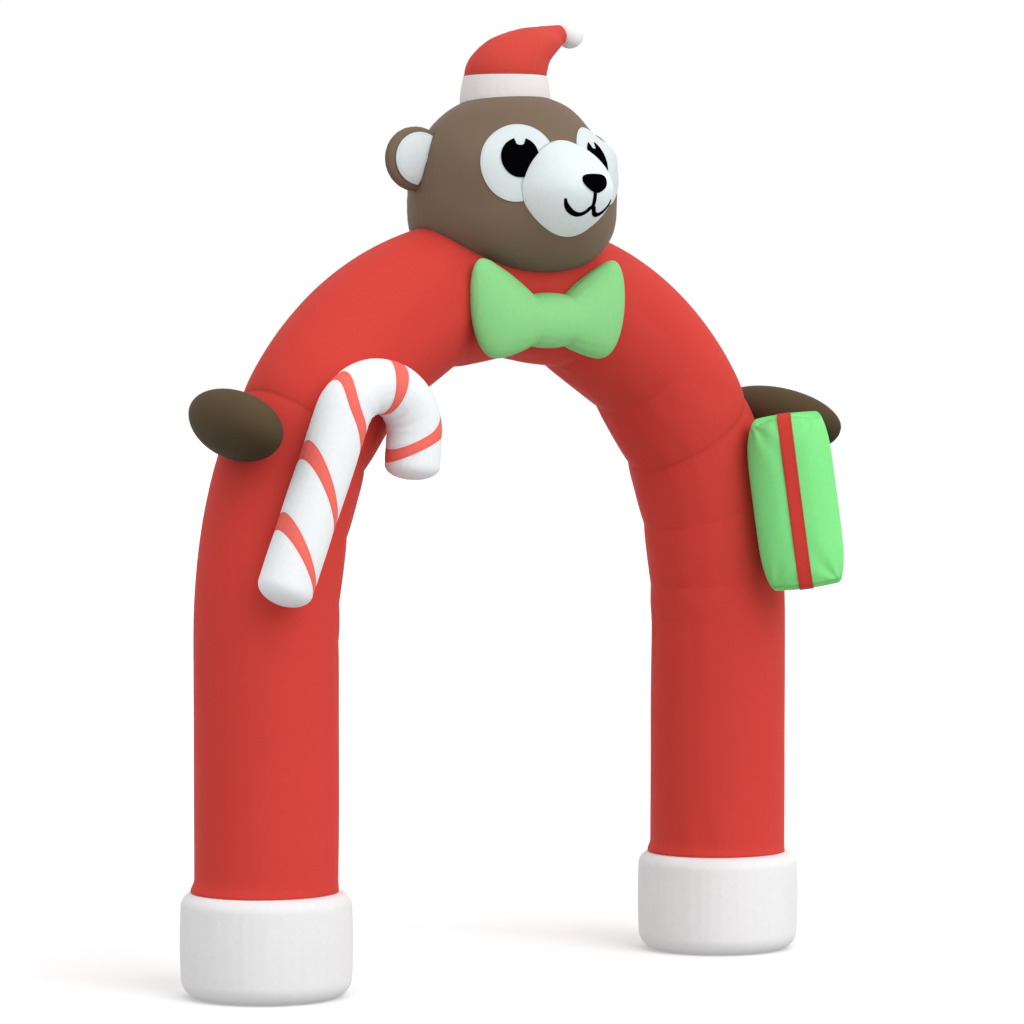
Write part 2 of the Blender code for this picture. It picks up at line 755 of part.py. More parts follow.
def add_paw(name, side, arch_cutter, grow=0.0):
    shape = Egg(Vector(), *PAW_HALF, PAW_DOWN)
    paw = add_piece(name, *egg_points(shape, 18, 10, grow), PAW_BROWN if arch_cutter else None)
    paw.location = (side * PAW_MIDDLE.x, PAW_MIDDLE.y, PAW_MIDDLE.z)
    paw.rotation_euler = Euler((PAW_DROP, 0, side * PAW_SPLAY), "XYZ")
    if arch_cutter:
        cut(paw, arch_cutter)
    return paw


def add_held_things(arch_cutter):
    for name, side in (("paw_left", -1), ("paw_right", 1)):
        add_paw(name, side, arch_cutter)
    paw_cutter = add_paw("paw_cutter", 1, None, SEAM_GAP)
    cut(add_piece("candy_cane", *loft(cane_rings()), WHITE), arch_cutter)
    gift = add_piece("gift", *loft(gift_rings()), GIFT_GREEN)
    place_gift(gift)
    cut(gift, arch_cutter, paw_cutter)
    place_gift(add_piece("gift_ribbon", *loft(ribbon_rings()), RIBBON_RED))


def add_frame(name, parent, y, turn):
    frame = bpy.data.objects.new(name, None)
    bpy.context.collection.objects.link(frame)
    frame.parent = bpy.data.objects[parent] if parent else None
    frame.location = (0, y, 0)
    frame.rotation_euler = Euler((0, 0, turn), "XYZ")


def build():
    clear_scene()
    add_frame("arch_frame", None, FRAME_Y, 0)
    add_frame("head_frame", "arch_frame", HEAD_Y, HEAD_TURN)
    add_piece("arch_tube", *arch_points(), RED)
    for name, side in (("foot_left", -1), ("foot_right", 1)):
        add_foot(name, side * HALF_SPAN)
    arch_cutter = add_piece("arch_cutter", *arch_points(SEAM_GAP))
    head_cutter = add_head_piece("head_cutter", egg_points(HEAD, 26, 16, SEAM_GAP))
    cut(add_head_piece("head", egg_points(HEAD, 26, 16), BROWN), arch_cutter)
    add_face(head_cutter)
    add_hat(head_cutter)
    cut(add_piece("bow_tie", *loft(bow_rings()), BOW_GREEN), arch_cutter, head_cutter)
    add_held_things(arch_cutter)


build()
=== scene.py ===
"""Looks, light and camera of an inflatable Christmas arch with a bear's head. Metres, +Z up.

Every piece is a closed skin made of rings of points. It is shaped as an air-filled bag of
cloth: taut, drawn in along its seams, gathered a little beside them, and sewn at its edge to
the piece that carries it.
"""

import json

import bpy
import numpy as np
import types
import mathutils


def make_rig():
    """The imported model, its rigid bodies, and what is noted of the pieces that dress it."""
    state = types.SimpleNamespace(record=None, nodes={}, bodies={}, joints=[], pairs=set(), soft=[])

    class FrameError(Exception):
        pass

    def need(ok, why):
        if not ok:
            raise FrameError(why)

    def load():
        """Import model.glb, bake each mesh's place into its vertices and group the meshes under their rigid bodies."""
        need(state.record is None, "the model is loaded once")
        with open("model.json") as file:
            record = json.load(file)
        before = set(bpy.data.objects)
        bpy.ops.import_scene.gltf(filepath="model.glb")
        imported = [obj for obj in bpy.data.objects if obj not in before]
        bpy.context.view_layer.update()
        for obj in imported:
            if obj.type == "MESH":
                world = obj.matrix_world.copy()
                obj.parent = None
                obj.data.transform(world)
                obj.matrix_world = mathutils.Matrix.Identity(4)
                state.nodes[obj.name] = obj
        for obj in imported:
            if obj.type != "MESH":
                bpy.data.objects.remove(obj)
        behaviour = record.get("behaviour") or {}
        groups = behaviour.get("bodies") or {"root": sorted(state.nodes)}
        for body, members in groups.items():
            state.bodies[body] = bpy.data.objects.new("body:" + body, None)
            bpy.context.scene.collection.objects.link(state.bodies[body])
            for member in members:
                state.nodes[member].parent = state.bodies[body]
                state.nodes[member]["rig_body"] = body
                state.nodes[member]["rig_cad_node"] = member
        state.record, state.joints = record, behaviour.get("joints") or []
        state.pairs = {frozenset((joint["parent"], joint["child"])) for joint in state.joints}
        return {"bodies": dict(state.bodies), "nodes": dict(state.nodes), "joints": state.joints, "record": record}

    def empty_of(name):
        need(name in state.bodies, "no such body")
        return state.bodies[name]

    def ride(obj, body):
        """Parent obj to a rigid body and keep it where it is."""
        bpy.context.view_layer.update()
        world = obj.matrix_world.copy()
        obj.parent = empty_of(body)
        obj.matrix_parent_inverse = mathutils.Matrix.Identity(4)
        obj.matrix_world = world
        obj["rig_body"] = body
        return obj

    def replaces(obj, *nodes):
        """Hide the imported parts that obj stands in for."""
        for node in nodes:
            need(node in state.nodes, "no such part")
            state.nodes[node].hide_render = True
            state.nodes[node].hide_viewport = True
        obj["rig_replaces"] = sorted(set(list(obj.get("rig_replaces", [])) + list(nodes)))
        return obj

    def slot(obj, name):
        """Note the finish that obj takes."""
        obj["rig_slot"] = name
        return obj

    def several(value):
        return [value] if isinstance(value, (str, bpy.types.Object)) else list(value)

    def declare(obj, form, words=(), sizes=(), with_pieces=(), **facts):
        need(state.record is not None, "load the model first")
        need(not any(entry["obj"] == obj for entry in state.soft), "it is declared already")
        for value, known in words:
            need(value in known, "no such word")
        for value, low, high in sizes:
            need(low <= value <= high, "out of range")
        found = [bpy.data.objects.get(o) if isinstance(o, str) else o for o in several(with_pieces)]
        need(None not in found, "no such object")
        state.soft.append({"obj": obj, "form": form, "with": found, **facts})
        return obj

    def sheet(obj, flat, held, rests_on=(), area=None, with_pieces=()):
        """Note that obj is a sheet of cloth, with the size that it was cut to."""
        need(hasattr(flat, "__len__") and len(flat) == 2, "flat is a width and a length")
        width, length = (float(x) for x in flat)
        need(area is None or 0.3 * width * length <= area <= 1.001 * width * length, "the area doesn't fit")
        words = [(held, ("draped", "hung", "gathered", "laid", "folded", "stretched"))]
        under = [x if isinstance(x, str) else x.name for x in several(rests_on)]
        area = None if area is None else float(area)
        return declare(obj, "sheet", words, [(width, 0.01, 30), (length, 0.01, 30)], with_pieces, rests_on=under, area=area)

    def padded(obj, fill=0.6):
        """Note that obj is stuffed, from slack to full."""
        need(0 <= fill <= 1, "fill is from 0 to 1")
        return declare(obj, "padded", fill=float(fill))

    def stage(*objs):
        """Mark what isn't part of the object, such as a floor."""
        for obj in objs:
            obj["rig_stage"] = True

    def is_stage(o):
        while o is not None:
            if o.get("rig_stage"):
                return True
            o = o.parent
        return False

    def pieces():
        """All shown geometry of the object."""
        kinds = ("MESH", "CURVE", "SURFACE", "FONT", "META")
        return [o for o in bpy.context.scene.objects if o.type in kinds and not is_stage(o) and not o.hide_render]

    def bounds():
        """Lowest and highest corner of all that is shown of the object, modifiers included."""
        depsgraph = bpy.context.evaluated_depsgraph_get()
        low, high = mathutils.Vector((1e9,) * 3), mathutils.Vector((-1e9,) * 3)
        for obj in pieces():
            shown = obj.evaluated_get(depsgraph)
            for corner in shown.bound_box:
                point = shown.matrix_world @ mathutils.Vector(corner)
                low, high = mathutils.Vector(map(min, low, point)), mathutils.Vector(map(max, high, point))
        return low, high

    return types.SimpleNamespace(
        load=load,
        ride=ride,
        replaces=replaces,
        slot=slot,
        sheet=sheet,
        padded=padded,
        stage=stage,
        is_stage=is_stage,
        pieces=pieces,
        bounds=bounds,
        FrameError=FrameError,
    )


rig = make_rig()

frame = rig.load()
cad_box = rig.bounds()

# ---------------------------------------------------------------- dimensions, as in the CAD
GAP = 0.0003  # between two pieces that are sewn together
CAP_GAP = 0.0012  # and between their hidden faces, away from the seam
NO_SEAM = 0.5  # further than a point can be from a seam
NO_STITCH = 0.02  # further from a seam than anything that shows there
SLACK_SEAM = 0.0075  # what a slack seam's distances gain, so that it gets less painted shade
POLE = 0.02  # radius of the innermost ring of a flat end
FRAME_Y = 0.092  # the plane of the arch

HALF_SPAN = 0.722
TUBE_RADIUS = 0.175
SPRING_HEIGHT = 0.858
ARC_RISE = 0.864
ARC_POWER = 2.2
ARC_SEAMS = (0, 15.5, 36, 53, 68, 82, 90)  # degrees from the apex, the same on both sides
LEG_FLARE = 0.0055
LEG_FLARE_HEIGHT = 0.035
LEG_FLARE_LEAN = (0.63, 0.49)  # the flare is fuller toward -X and toward +Y
ARCH_GROOVE = (0.0005, 0.0012)  # depth at a seam, and how much more on the inside of the bend
ARCH_GROOVE_WIDTH = 0.006
ARCH_GATHER = (0.0004, 0.0009)  # the same for the gathers beside it
ARCH_GATHER_AWAY = 0.013  # where they are highest
ARCH_FOLD = (0.0003, 0.0012)  # and for the wide folds further off
ARCH_FOLD_AWAY = 0.045
ARCH_WAIST = 0.0016  # how far a seam above the feet draws the whole tube in
ARCH_WAIST_WIDTH = 0.035
ARCH_FULL = 0.002  # how far a panel swells between its seams, on the inside
ARCH_UNEVEN = 0.0012
SHOULDER_PINCH = 0.0045  # depth of the shoulder seams on the outside
SHOULDER_WIDTH = 0.022

FOOT_RADIUS = 0.2075
FOOT_HEIGHT = 0.254
FOOT_TOP_ROUND = 0.034
FOOT_BOTTOM_ROUND = 0.046
FOOT_BULGE = 0.002
FOOT_SEAM = 0.006  # height of the seam round its base
FOOT_STREAK = 0.0005  # depth of the upright streaks in its wall

HEAD_Y = -0.043
HEAD_TURN = -4  # degrees about the upright axis
HEAD_MIDDLE = (0, 0, 1.9105)
HEAD_HALF = (0.262, 0.262, 0.294)
HEAD_DOWN = 0.168
HEAD_RADIUS = 0.26  # roughly, to space the points round it
HEAD_POWER = 2.33
BROW_TURN = (48, 28)  # where the brow recedes most, and how wide that is, in degrees
BROW_HEIGHT = (46, 11)
BROW_DEPTH = 0.009
CHEEK_TURN = (50, 16)  # the same for the fullness under the outer half of each eye
CHEEK_HEIGHT = (22, 13)
CHEEK_RISE = 0.008
HEAD_UNEVEN = 0.0012
HEAD_BACK_SEAMS = (38, 90, 142)  # degrees from +X, down the back of the head
HAT_HIDES = 2.14  # height above which the hat hides the head
MUZZLE_MIDDLE = (-0.004, -0.1815, 1.9575)
MUZZLE_HALF = (0.1272, 0.1936, 0.1284)
MUZZLE_DOWN = 0.1337
MUZZLE_POWER = 1.78
MUZZLE_CHIN = 0.0266
EAR_MIDDLE = (0.2555, 0.047, 2.038)
EAR_HALF = (0.088, 0.034, 0.0815)
INNER_EAR_HALF = (0.0715, 0.066)
EAR_PRESS = (0.0022, 0.006)  # depth and width of the dent under the lining's edge
EAR_GROOVE = (0.0016, 0.0045)  # the same of the seam round its rim
EAR_GATHER = (0.0006, 0.012)  # and of the gathers there

PATCH = 0.0025  # thickness of a piece of cloth sewn on the face
EYES = {  # sewn by hand, so the two differ: the right one is fuller and wraps the cheek
    -1: dict(turn=32.0, height=0.1112, inner=0.1079, outer=0.0882, trim=1.0, bulge=0.002,
             pupil_inward=0.0116, pupil_half=0.0464),
    1: dict(turn=28.8, height=0.1070, inner=0.0985, outer=0.1500, trim=2.8, bulge=0.011,
            pupil_inward=0.0215, pupil_half=0.0385),
}
EYE_UP = 0.1146
EYE_DOWN = 0.1031
EYE_PUFF = 0.002  # how far the middle of an eye stands out above its edge
BULGE_PLACE = (0.100, 0.045)  # the fullest part of an eye, outward and up from its middle
BULGE_SIZE = 0.035
PUPIL_UP = 0.0136
PUPIL_TALL = 0.0522
GLINT_RADIUS = 0.014
GLINT_HEIGHT = 0.0442
NOSE_HEIGHT = 0.0125
NOSE_HALF = (0.0368, 0.0246)
NOSE_SHOULDER = 0.0072  # the nose is widest this far above its middle
NOSE_SQUARE = 3.4  # of its upper corners, where 2 is an ellipse
NOSE_POINT = (1.7, 0.72)
NOSE_PUFF = 0.004
MOUTH_WIDTH = 0.0102
MOUTH_TAPER = 0.032  # how far from its ends the mouth starts to thin out
MOUTH_TIP = 0.004  # and to close
MOUTH_MITRE = 0.00003  # the gap between its halves widens by this from ring to ring
MOUTH = (  # the middle of the right half's cord: x and height on the muzzle
    (0.0, -0.0445), (0.0058, -0.0482), (0.0108, -0.0555), (0.0180, -0.0610), (0.0280, -0.0630),
    (0.0400, -0.0595), (0.0525, -0.0510), (0.0625, -0.0385), (0.0682, -0.0240),
)
LIP_START = -0.0040  # how far to the side the line under the nose starts

HAT_Y = -0.017
BAND_RADIUS_LOW = 0.1145
BAND_RADIUS_HIGH = 0.1056
BAND_BULGE = 0.003
BAND_BOTTOM = 2.165
BAND_TOP = 2.251
BAND_EDGE = 0.005  # radius of the band's folded upper edge
POMPOM_MIDDLE = (0.2081, -0.017, 2.364)
POMPOM_RADIUS = 0.036
CROWN_FOLD = 0.0012  # height of the soft folds of the hat's crown

BOW_Y = -0.190
NOTCH_X = 0.055  # where the bow's lobes are drawn in by its knot
NOTCH_REACH = 0.034  # how far from there the corner between them is rounded off
NOTCH_ROUND = 0.016  # and how much
BOW_GATHER = 0.0011  # depth of the gathers beside the knot
BOW_GATHER_AWAY = 0.024

CANE_START = (-0.8193, -0.2215, 1.0044)
CANE_RADIUS = 0.0675
CANE_LEAN = 22.3
CANE_SHAFT = 0.436
CANE_BEND_RADIUS = 0.1112
CANE_BEND = 162
CANE_END = 0.067
CANE_LOW_ROUND = 0.045
CANE_HIGH_ROUND = 0.040
CANE_ROUNDNESS = (2.2, 2.4)  # of its lower and its upper end, where 2 is a ball's
CANE_GROOVE = (0.0011, 0.0045)  # depth and width of the seam at the edge of a band
CANE_GATHER = (0.0007, 0.010)  # height of the gathers beside it, and how far off they are
CANE_CREASE = 0.0016  # depth of the creases inside the bend
CANE_CREASE_STEP = 0.047
CANE_CREASED = (0.45, 0.83)  # where they start and end along the axis
CANE_PANEL = 0.17  # the length of a panel, roughly
CANE_UNEVEN = 0.0012

GIFT_MIDDLE = (0.7435, -0.2775, 1.1772)
GIFT_HALF = (0.1089, 0.082, 0.2227)
GIFT_FRONT = 0.068  # how far its front stands out from its middle
GIFT_SEAM = 0.975  # place of the seam round each end, where 1 is the end
GIFT_TAPER = {  # how much narrower its lower and its upper end are, left and right
    -1: (0.22, 0.29),
    1: (0.18, 0.18),
}
GIFT_THINNING = 0.42
GIFT_END = (0.93, 0.62)
GIFT_SQUARENESS = (3.2, 1.95)  # of its back and its front
GIFT_PUCKER = 0.0028  # depth of the folds that run in from its front corners
GIFT_FAN = 7.5  # how many there are in a turn about a corner
GIFT_CROWN = 0.0035  # how far its faces swell beside the ribbon
GIFT_DOME = 0.004  # and its two ends
GIFT_CORNER_FALL = (0.05, 0.14)  # how far its lower and its upper front corners fall short
GIFT_TURN = -43
GIFT_LEAN = -7.6
RIBBON_WIDTH = 0.036
RIBBON_THICKNESS = 0.0015
RIBBON_GAP = 0.0004
RIBBON_TURN_IN = 0.3

PAW_MIDDLE = (0.8635, -0.0774, 1.3914)
PAW_HALF = (0.078, 0.2028, 0.0758)
PAW_DOWN = 0.0876
PAW_SPLAY = 8.5
PAW_DROP = 8.86

# ---------------------------------------------------------------- colours, linear
RED = (0.60, 0.052, 0.040)
HAT_RED = (0.60, 0.062, 0.047)
WHITE = (0.79, 0.78, 0.785)
TRIM_WHITE = (0.77, 0.725, 0.72)
POMPOM_WHITE = (0.88, 0.90, 0.90)
PALE = (0.645, 0.705, 0.715)
# the muzzle's pale cloth: PALE painted brighter, as painted light
PALE_PAINTED_BRIGHT = (0.745, 0.82, 0.825)
BROWN = (0.174, 0.123, 0.084)
DARK_BROWN = (0.086, 0.059, 0.032)
BLACK = (0.0012, 0.0012, 0.0018)
BOW_GREEN = (0.258, 0.635, 0.245)
GIFT_GREEN = (0.232, 0.79, 0.255)
RIBBON_RED = (0.60, 0.050, 0.039)
CANE_WHITE = (0.80, 0.825, 0.84)
CANE_RED = (0.82, 0.15, 0.12)

FULL_TURN = 2 * np.pi


# ---------------------------------------------------------------- small helpers
def smooth_step(t):
    t = np.clip(t, 0, 1)
    return t * t * (3 - 2 * t)


def length_of(vectors):
    return np.linalg.norm(vectors, axis=-1)


def unit(vectors):
    return vectors / np.maximum(length_of(vectors)[..., None], 1e-12)


def travelled(path):
    """The length along a path up to each of its points."""
    return np.concatenate([[0], np.cumsum(length_of(np.diff(path, axis=0)))])


def closed(grid):
    """A grid of rings with the first point of each ring again at its end."""
    return np.concatenate([grid, grid[:, :1]], 1)


def index_at(places, spot):
    """Which of the places is nearest a spot."""
    return int(np.abs(places - spot).argmin())


def rounded(across, up, power):
    """How far a way reaches to the edge of a rounded square. With power 2 that is a circle."""
    return (np.abs(across) ** power + np.abs(up) ** power) ** (-1 / power)


def bell(away, width, power=2):
    """1 at a seam, and fading as the distance from it passes width."""
    return np.exp(-((away / width) ** power))


def hump(away, peak):
    """0 at a seam, 1 at the distance peak from it, and fading beyond."""
    return away / peak * np.exp(1 - away / peak)


def even_turns(count):
    return FULL_TURN * np.arange(count) / count


def circle(count):
    """The cosines and the sines of even turns."""
    turns = even_turns(count)
    return np.cos(turns), np.sin(turns)


def oval(half, count):
    across, high = circle(count)
    return np.stack([half[0] * across, half[1] * high], -1)


def arc(radius, height, size, start, end, count):
    """A round stretch of a profile about the point (radius, height), from start to end degrees."""
    turns = np.radians(np.linspace(start, end, count))
    return np.stack([radius + size * np.cos(turns), height + size * np.sin(turns)], -1)


def stretch(low, high, count, bulge=0.0):
    """A stretch of a profile from low to high, each (radius, height), that bulges between."""
    share = np.linspace(0, 1, count)[:, None]
    line = np.array(low) + (np.array(high) - low) * share
    return line + bulge * np.sin(np.pi * share) * (1, 0)


def turned(radius, height, turn, x, y):
    """Points of a profile turned about an upright axis at (x, y)."""
    radius, height, turn = np.broadcast_arrays(radius, height, turn)
    return np.stack([x + radius * np.cos(turn), y + radius * np.sin(turn), height], -1)


def turn_matrix(degrees, axis):
    """A rotation about one of the axes 0, 1 and 2."""
    angle = np.radians(degrees)
    before, after = (axis + 1) % 3, (axis + 2) % 3
    matrix = np.eye(3)
    matrix[before, before] = matrix[after, after] = np.cos(angle)
    matrix[after, before] = np.sin(angle)
    matrix[before, after] = -np.sin(angle)
    return matrix


def spline(rows, at):
    """Rows of numbers, filled in smoothly at the places at (0 is the first row)."""
    rows = np.asarray(rows, float)
    slopes = np.gradient(rows, axis=0)
    at = np.clip(np.asarray(at, float), 0, len(rows) - 1)
    low = np.minimum(at.astype(int), len(rows) - 2)
    t = (at - low)[..., None]
    start, end = rows[low], rows[low + 1]
    push, pull = slopes[low], slopes[low + 1]
    return (
        (2 * t**3 - 3 * t**2 + 1) * start
        + (t**3 - 2 * t**2 + t) * push
        + (3 * t**2 - 2 * t**3) * end
        + (t**3 - t**2) * pull
    )


BESIDE_SEAM = np.array([0.002, 0.0045, 0.008, 0.013, 0.019, 0.027])  # where extra rings lie
CLOSEST_RINGS = 0.0012


def ring_places(low, high, step, seams=(), scale=1.0):
    """Places from low to high at most step apart, and closer together beside each seam.

    scale is how many metres one unit of place is.
    """
    beside = BESIDE_SEAM / scale
    places = [low, high]
    for seam in seams:
        places += [seam, *(seam - beside), *(seam + beside)]
    places = np.unique([place for place in places if low <= place <= high])
    keep = [places[0]]
    for place in places[1:]:
        if place - keep[-1] > CLOSEST_RINGS / scale:
            keep.append(place)
    filled = []
    for start, end in zip(keep, keep[1:]):
        count = max(int(np.ceil((end - start) / step)), 1)
        filled += list(start + (end - start) * np.arange(count) / count)
    return np.array(filled + [high])


class Ripples:
    """Uneven waves round a seam or across a skin, the same on every run."""

    def __init__(self, seed, counts):
        rng = np.random.default_rng(seed)
        self.counts = np.asarray(counts, float)
        self.phases = rng.uniform(0, FULL_TURN, (64, len(counts)))
        self.sizes = rng.uniform(0.6, 1.0, (64, len(counts)))

    def at(self, angle, which=0):
        """A height from about -1 to 1. Each number which has waves of its own."""
        angle = np.asarray(angle)[..., None]
        waves = self.sizes[which] * np.cos(self.counts * angle + self.phases[which])
        return waves.sum(-1) / np.sqrt(len(self.counts))


class Drift:
    """A slow unevenness through space, as taut cloth has between its seams."""

    def __init__(self, seed, wavelength):
        waves = 7
        rng = np.random.default_rng(seed)
        self.ways = unit(rng.normal(size=(waves, 3))) * FULL_TURN / wavelength
        self.ways *= rng.uniform(0.6, 1.5, (waves, 1))
        self.phases = rng.uniform(0, FULL_TURN, waves)

    def at(self, points):
        return np.sin(points @ self.ways.T + self.phases).mean(-1)


# ---------------------------------------------------------------- bodies
class Tube:
    """A round bag about a line in an upright plane y = const, such as the arch or the cane."""

    def __init__(self, x, z, y, radius):
        self.x, self.z, self.y = np.asarray(x, float), np.asarray(z, float), y
        self.far = travelled(np.stack([self.x, self.z], -1))
        self.length = self.far[-1]
        self.radius = radius
        spots = np.arange(0, self.length, 0.004)
        self.spots = (spots, *self.middle(spots)[:2])

    def line(self, s):
        return np.interp(s, self.far, self.x), np.interp(s, self.far, self.z)

    def middle(self, s):
        """The line's x and z at s, and the outward direction (left of the way) there."""
        reach = 0.003
        ahead = self.line(np.minimum(s + reach, self.length))
        behind = self.line(np.maximum(s - reach, 0))
        along_x, along_z = ahead[0] - behind[0], ahead[1] - behind[1]
        size = np.hypot(along_x, along_z)
        return *self.line(s), -along_z / size, along_x / size

    def skin(self, s, phi, grow=0.0):
        """The point at s along the line and phi round it: 0 is outward, 90 degrees is +Y."""
        s, phi = np.broadcast_arrays(s, phi)
        x, z, out_x, out_z = self.middle(s)
        radius = self.radius(s, phi) + grow
        out = radius * np.cos(phi)
        return np.stack([x + out_x * out, self.y + radius * np.sin(phi), z + out_z * out], -1)

    def place(self, points):
        """Where points are in the tube's own terms: s, phi and the distance from the line."""
        flat = np.asarray(points, float).reshape(-1, 3)
        spots, line_x, line_z = self.spots
        s = np.empty(len(flat))
        batch = 4000
        for start in range(0, len(flat), batch):
            part = flat[start : start + batch]
            far = (part[:, :1] - line_x) ** 2 + (part[:, 2:] - line_z) ** 2
            s[start : start + batch] = spots[far.argmin(1)]
        for _ in range(3):
            x, z, out_x, out_z = self.middle(s)
            s = np.clip(s + (flat[:, 0] - x) * out_z - (flat[:, 2] - z) * out_x, 0, self.length)
        x, z, out_x, out_z = self.middle(s)
        out = (flat[:, 0] - x) * out_x + (flat[:, 2] - z) * out_z
        deep = flat[:, 1] - self.y
        shape = np.shape(points)[:-1]
        return tuple(a.reshape(shape) for a in (s, np.arctan2(deep, out), np.hypot(out, deep)))

    def clearance(self, points):
        """How far points are outside the skin."""
        s, phi, far = self.place(points)
        return far - self.radius(s, phi)

    def seat(self, points, gap):
        """The points moved straight in or out, to gap outside the skin."""
        s, phi = self.place(points)[:2]
        return self.skin(s, phi, gap)


class Egg:
    """A round inflated body with its own axes and its own reach up and down.

    Its lowest point lies chin further back (+Y) than its middle.
    """

    def __init__(self, middle, half, down=None, power=2.0, axes=None, drift=None, chin=0.0):
        self.middle, self.half = np.asarray(middle, float), np.asarray(half, float)
        self.down = self.half[2] if down is None else down
        self.power = power
        self.axes = np.eye(3) if axes is None else axes
        self.drift = drift
        self.chin = chin

    def tall(self, up):
        """Its reach up or down, as up is positive or not."""
        return np.where(up > 0, self.half[2], self.down)

    def reach(self, way):
        plan = np.hypot(way[..., 0] / self.half[0], way[..., 1] / self.half[1])
        tall = np.abs(way[..., 2]) / self.tall(way[..., 2])
        return rounded(plan, tall, self.power) + (self.drift(way) if self.drift else 0)

    def receding(self, own):
        return self.chin * np.clip(-own[..., 2] / self.down, 0, 1) ** 2

    def out(self, toward, grow=0.0):
        """Where a ray from the middle leaves the body. The ray is in the egg's own axes."""
        way = unit(toward)
        spot = way * (self.reach(way) + grow)[..., None]
        spot[..., 1] += self.receding(spot)
        return self.middle + spot @ self.axes.T

    def skin(self, ball):
        """The same for a point of the unit ball, stretched to the body's halves."""
        stretched = ball * self.half
        stretched[..., 2] = ball[..., 2] * self.tall(ball[..., 2])
        return self.out(stretched)

    def own(self, points):
        """Points of the row's frame, in the egg's own axes."""
        own = (points - self.middle) @ self.axes
        own[..., 1] -= self.receding(own)
        return own

    def clearance(self, points):
        """How far points are outside the skin."""
        own = self.own(points)
        return length_of(own) - self.reach(unit(own))

    def seat(self, points, gap):
        """The points moved straight in or out, to gap outside the skin."""
        return self.out(self.own(points), np.full(np.shape(points)[:-1], gap))


# ---------------------------------------------------------------- rings
def ball_point(pole, share, turn):
    """A point of the unit ball: share 0 is the pole, 1 is opposite, turn goes round it."""
    pole = np.asarray(pole, float)
    start = np.array([1.0, 0, 0]) if abs(pole[2]) > 0.9 else np.array([0, 0, 1.0])
    side = unit(np.cross(start, pole))
    other = np.cross(pole, side)
    share, turn = np.broadcast_arrays(share, turn)
    round_it = np.cos(turn)[..., None] * side + np.sin(turn)[..., None] * other
    angle = (np.pi * share)[..., None]
    return np.cos(angle) * pole + np.sin(angle) * round_it


def free_pole(egg, carrier):
    """The pole of an egg that is opposite the point deepest inside what carries it."""
    rng = np.random.default_rng(1)
    ball = unit(rng.normal(size=(3000, 3)))
    return -ball[carrier.clearance(egg.skin(ball)).argmin()]


def trimmed(skin, carrier, turns, rows, cap_rows, crowd=1.5):
    """Rings of a body from its free pole to its seam, then back across what carries it.

    skin(share, turn) is the whole body, share 0 at the free pole and 1 at the hidden one.
    Returns the rings and the row of the seam.
    """
    shares = np.linspace(0.02, 1, 220)
    blocked = carrier.clearance(skin(shares[:, None], turns[None])) < GAP
    first = blocked.argmax(0)
    low, high = shares[np.maximum(first - 1, 0)], shares[first]
    for _ in range(16):
        half = (low + high) / 2
        hit = carrier.clearance(skin(half, turns)) < GAP
        low, high = np.where(hit, low, half), np.where(hit, half, high)
    steps = 1 - (1 - np.arange(1, rows + 1) / rows) ** crowd
    rings = list(skin(low[None] * steps[:, None], turns[None]))
    edge = rings[-1]
    root = edge.mean(0)
    for k in range(1, cap_rows + 1):
        share = (k - 0.15) / cap_rows
        gap = GAP + (CAP_GAP - GAP) * smooth_step(3 * share)
        rings.append(carrier.seat(edge + (root - edge) * share, gap))
    return np.array(rings), rows - 1


def cleared(rings, *carriers, gap=GAP):
    """The rings with each point that is inside a neighbour moved out to its skin."""
    moved = rings.copy()
    for carrier in carriers:
        inside = carrier.clearance(moved) < gap
        if inside.any():
            moved[inside] = carrier.seat(moved[inside], gap)
    return moved


def grid_normals(rings):
    """Outward directions of a closed skin of rings."""
    around = np.roll(rings, -1, 1) - np.roll(rings, 1, 1)
    along = np.gradient(rings, axis=0)
    normals = unit(np.cross(around, along))
    return normals if signed_volume(rings) > 0 else -normals


def signed_volume(rings):
    """Positive if the turn round the rings, then the way along them, faces outward."""
    after = np.roll(rings, -1, 1)
    a, b, c = rings[:-1], after[:-1], rings[1:]
    return np.einsum("ijk,ijk->", a - rings.mean((0, 1)), np.cross(b - a, c - a))


def seam_map(rings, rows=(), columns=()):
    """For each point, the length along the nearest seam and the distance from it."""
    skin = closed(rings)
    along, around = np.zeros(skin.shape[:2]), np.zeros(skin.shape[:2])
    along[1:] = np.cumsum(length_of(np.diff(skin, axis=0)), 0)
    around[:, 1:] = np.cumsum(length_of(np.diff(skin, axis=1)), 1)
    seams = [(np.abs(along - along[row]), around[row]) for row in rows]
    for column in columns:
        far = np.abs(around - around[:, column : column + 1])
        seams.append((np.minimum(far, around[:, -1:] - far), along[:, column : column + 1]))
    length, distance = around, np.full(along.shape, NO_SEAM)
    for far, place in seams:
        length = np.where(far < distance, place, length)
        distance = np.minimum(far, distance)
    return length, distance


def sewn(rings, seams, seed, columns=(), groove=0.0015, width=0.006, gather=0.0008,
         spread=0.016, wave=0.03):
    """Draws a skin in along its seams, with a narrow groove and small gathers beside it."""
    length, distance = seam_map(rings, seams, columns)
    away = distance[:, :-1]
    ripples = Ripples(seed, (0.21, 0.37, 0.62, 1.0, 1.31))
    folds = ripples.at(length[:, :-1] / wave * FULL_TURN) * 0.5 - 0.4
    depth = groove * bell(away, width, 1.5) - gather * folds * hump(away, spread)
    return rings - grid_normals(rings) * depth[..., None], (length, distance)


def sewn_on(rings, seam, seed, **stitching):
    """The same for a skin whose one seam is its edge. What is hidden behind it stays as it was."""
    moved, uv = sewn(rings, (seam,), seed, **stitching)
    moved[seam:] = rings[seam:]
    return moved, uv


# ---------------------------------------------------------------- pieces
pieces = {}
cuts = {}  # for each thin sheet, the size it was cut to and what it is sewn on


